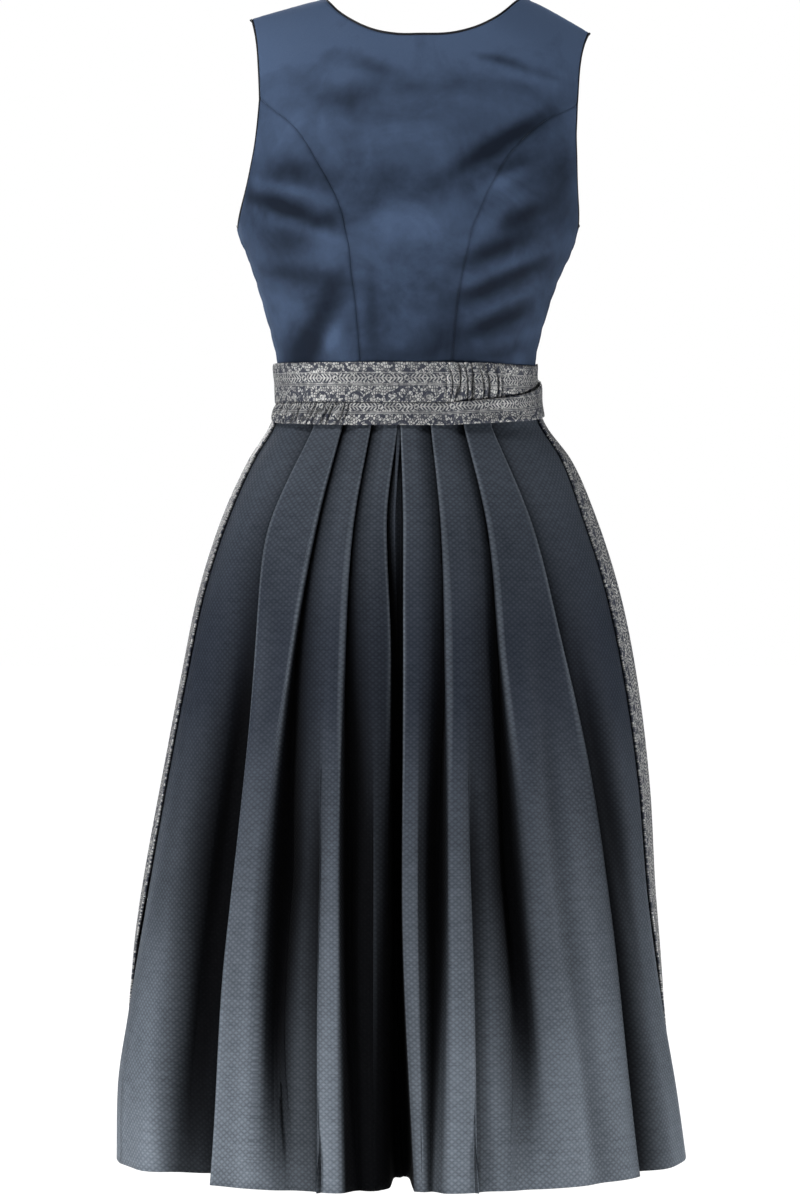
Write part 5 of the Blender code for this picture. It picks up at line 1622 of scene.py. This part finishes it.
def hem_height(u, v):
    """How far the hems lift the outer face: a narrow one on each side and a deep one below."""
    width, length = u.max(axis=1, keepdims=True), v.max()
    beside = np.minimum(u, width - u)
    lifted = 1 - eased((beside - SIDE_HEM) / SIDE_STEP)
    lifted = np.maximum(lifted, 1 - eased((length - v - FOOT_HEM) / FOOT_STEP))
    seam = np.minimum(np.abs(beside - SIDE_HEM), np.abs(length - v - FOOT_HEM))
    return HEM_STEP * lifted - STITCHES.depth * np.exp(-(seam / STITCHES.width) ** 2)


def crowded_ends(count, share, crowd):
    """Steps from 0 to 1, with that many of them inside a share at each end."""
    edge = np.linspace(0, share, crowd, endpoint=False)
    return np.concatenate([edge, np.linspace(share, 1 - share, count - 2 * crowd), 1 - edge[::-1]])

# %% The apron
def add_apron():
    share = crowded_ends(APRON_COLUMNS, EDGE_CROWD.share, EDGE_CROWD.columns)
    falls = np.linspace(0, 1, APRON_ROWS) ** APRON_ROWS_CROWD
    heights = APRON_TOP_Z + (APRON_HEM_Z - APRON_TOP_Z) * falls
    centre = np.array([apron_row(z, share) for z in heights])
    normals = -grid_normals(centre)
    from_axis = (centre - [KNOT.x, 0, 0]) * [1, 1, 0]
    normals = normals * np.sign(np.sum(normals * from_axis, axis=-1, keepdims=True))
    uv = grid_lengths(centre)
    lift = hem_height(*np.moveaxis(uv, -1, 0))[..., None]
    outer = centre + normals * (BROCADE / 2 + lift)
    piece = cloth_sheet("cloth_apron", outer, centre - normals * BROCADE / 2, uv, brocade_apron)
    dress(piece, "brocade", "apron")


add_apron()

# %% [markdown]
# The waistband and both ties are long flat tubes round the waist, so their edges are soft folds.
# Each tie starts ruched on a casing, where the cloth is packed into narrow upright gathers.

# %% A strip round the waist
BAND_CELLS = 14
EDGE_FOLD = 0.0007
STEP_FLAT, STEP_RUCHED = 1.0, 0.16       # degrees
RUCHE_SLANT = 0.6                        # how many gathers the top leans past the bottom
RUCHE_SHIFT = 0.0007                     # how far a gather's crest draws the edges in
RIM_POWER = 8               # the higher, the flatter the strip between its two folded edges
DRAG = ((0.00045, 38, 5), (0.0003, 90, -7))     # soft waves: height, radians a metre, lean
INNER_RIM = 0.35            # how thick the strip still is at its edges


def angle_steps(table):
    """Angles along a tie in degrees, close together where it is ruched."""
    angles = [table.angle[0]]
    while angles[-1] < table.angle[-1]:
        ruched = np.interp(angles[-1] + 1, table.angle, table.ruche) > 0.05
        step = STEP_RUCHED if ruched else STEP_FLAT
        angles.append(min(angles[-1] + step, table.angle[-1]))
    return np.array(angles)


def gather_wave(way, share):
    """Upright gathers: broad round crests with narrow dark gaps, uneven and a little slanted."""
    run = way / RUCHE_WAVE + 0.22 * np.sin(way * 410) + 0.10 * np.sin(way * 933 + 2)
    run = run + RUCHE_SLANT * (share - 0.5) + 0.12 * np.sin(way * 150 + 5 * share)
    return np.abs(np.sin(math.pi * run)) ** 0.6


def band_faces(angles, top, bottom, stand, ruche):
    """Outer and inner points of a strip round the waist, and the painted shade of each between the
    gathers.
    """
    shares = np.linspace(0, 1, BAND_CELLS + 1)
    outer, inner, shade = [], [], []
    for share in shares:
        z = (1 - share) * top + share * bottom
        points = outline(angles, z)
        way = way_along(points)
        rim = 1 - (2 * share - 1) ** RIM_POWER
        slack = np.sin(math.pi * (0.10 + 0.80 * share)) ** 0.7
        wave = gather_wave(way, share)
        drag = sum(size * np.sin(way * turns + lean * share) for size, turns, lean in DRAG)
        ahead = np.gradient(points[:, :2], axis=0)
        normal = unit(np.stack([ahead[:, 1], -ahead[:, 0], np.zeros(len(points))], axis=1))
        rise = RUCHE_HEIGHT * ruche * wave * slack + drag * (1 - ruche) * rim
        out = stand + BROCADE - EDGE_FOLD * (1 - rim) + rise
        points = points + normal * out[:, None]
        points[:, 2] += ruche * RUCHE_SHIFT * (wave - 0.5) * (1 - 2 * share)
        outer.append(points)
        inner.append(points - normal * BROCADE * (INNER_RIM + (1 - INNER_RIM) * rim))
        shade.append(ruche * (1 - wave) ** 1.5)
    return np.array(outer), np.array(inner), np.array(shade)


def add_band(name, table, shift, node):
    """One strip round the waist from a table of angles; shift is its cut's place in the stripes."""
    angles = angle_steps(table)
    top, bottom, stand, ruche = (smooth(table.angle, getattr(table, key), angles)
                                 for key in ("top", "bottom", "stand", "ruche"))
    outer, inner, shade = band_faces(np.radians(angles), top, bottom, stand, ruche)
    steps = np.linalg.norm(np.diff(outer, axis=1), axis=2).mean(axis=0)
    along = np.concatenate([[0], np.cumsum(steps)])
    u = np.tile(along, (len(outer), 1))
    height = (top - bottom)[None, :] * np.linspace(0, 1, len(outer))[:, None]
    v = height + shift(top, bottom)
    piece = cloth_sheet(name, outer, inner, np.stack([u, v], axis=-1), brocade_band)
    # painted shade between the gathers
    mark(piece, "painted_shade", shade)
    dress(piece, "brocade", node)

# %% Waistband and ties
LOWER_TIE_FOOT = 0.0310     # where the lower tie's edge lies across the brocade's stripes


BAND_ANGLES = np.linspace(-182, 2, 47)      # in degrees, round the front


def add_bands():
    flat = np.ones_like(BAND_ANGLES)
    band = SimpleNamespace(angle=BAND_ANGLES, top=BAND_TOP_Z * flat, bottom=BAND_BOTTOM_Z * flat,
                           stand=FIRST_LAYER * flat, ruche=0 * flat)
    add_band("cloth_waistband", band, lambda top, bottom: 0.0, "apron_waistband")
    add_band("cloth_tie_right", UPPER_TIE, lambda top, bottom: 0.0, "tie_right")
    add_band("cloth_tie_left", LOWER_TIE,
             lambda top, bottom: LOWER_TIE_FOOT - (top - bottom)[None, :], "tie_left")


add_bands()

# %% [markdown]
# At the front the ties meet in a knot, a rounded pad of folded cloth. Their two ends hang from it
# over the apron.

# %% Knot and tie ends
KNOT_CELLS = 40
TAIL_ROWS, TAIL_COLUMNS = 90, 26
TAIL_FOLD = SimpleNamespace(height=0.00128, count=2.2, lean=0.8, end=0.7)
KNOT_WRAP, KNOT_CREASE = 0.0009, 0.0005     # heights of its broad wraps and its fine creases


def front_depth(x, z, stand):
    """The y of a point that far in front of the outline."""
    return outline(angle_of(x, z, -1), z)[..., 1] - stand


def add_knot():
    """A rounded pad of folded cloth, drawn together in its middle."""
    shares = np.linspace(-1, 1, KNOT_CELLS + 1)
    bulge = np.sqrt(1 - KNOT.roundness * shares ** 2)
    outer, inner = [], []
    for v, swell in zip(shares, bulge):
        x = KNOT.x + KNOT.width / 2 * shares * (1 - KNOT.waist * v * v)
        z = KNOT.z - KNOT.height / 2 * v * (1 - KNOT.crown * shares ** 2)
        back = front_depth(x, z, SECOND_LAYER)
        crease = (KNOT_WRAP * np.cos(9.5 * (v + 0.35 * shares + 0.10 * np.sin(3 * shares)))
                  + KNOT_CREASE * np.cos(21 * v - 6 * shares)) * (1 - shares ** 4) * (1 - v ** 4)
        front = back - KNOT.rim - (KNOT.depth - KNOT.rim) * bulge * swell - crease
        inner.append(np.stack([x, back, z], axis=1))
        outer.append(np.stack([x, front, z], axis=1))
    outer, inner = np.array(outer), np.array(inner)
    piece = cloth_sheet("cloth_knot", outer, inner, grid_lengths(outer), brocade_band)
    dress(piece, "brocade", "tie_knot")


def add_tail(side, tail):
    knot_bottom = KNOT.z - KNOT.height / 2 - SEAM_GAP
    outer, inner = [], []
    turn = 1 if side == "left" else -1
    for share in np.linspace(0, 1, TAIL_ROWS + 1):
        z = knot_bottom + share * (tail.end_z - knot_bottom)
        middle = tail.top_x + share ** 0.8 * (tail.end_x - tail.top_x)
        width = TAIL_WIDTH * (TAIL_NECK + (1 - TAIL_NECK) * min(1, share / TAIL_OPENS_BY))
        across = np.linspace(-0.5, 0.5, TAIL_COLUMNS + 1)
        x = middle + width * across
        stand = sum(float(smooth(APRON.z, getattr(APRON, key), z))
                    for key in ("gather", "fold", "stand"))
        curl = TAIL_CURL * np.cos(2 * math.pi * across) * (1 - 0.5 * share)
        base = front_depth(x, z, stand + BROCADE + TAIL_CLEARANCE)
        base = np.minimum(base, base[TAIL_COLUMNS // 2]) + curl
        fading = 1 - eased(share / TAIL_FOLD.end)
        folds = TAIL_FOLD.height * (0.25 + 0.75 * fading) * np.cos(
            2 * math.pi * (TAIL_FOLD.count * across + 0.25 * turn + TAIL_FOLD.lean * share))
        y = base - BROCADE / 2 - folds
        inner.append(np.stack([x, y + BROCADE / 2, np.full_like(x, z)], axis=1))
        outer.append(np.stack([x, y - BROCADE / 2, np.full_like(x, z)], axis=1))
    outer, inner = np.array(outer), np.array(inner)
    piece = cloth_sheet(f"cloth_tie_end_{side}", outer, inner, grid_lengths(outer)[..., ::-1],
                        brocade_band)
    dress(piece, "brocade", f"tie_end_{side}")


add_knot()
for side, tail in TAILS.items():
    add_tail(side, tail)
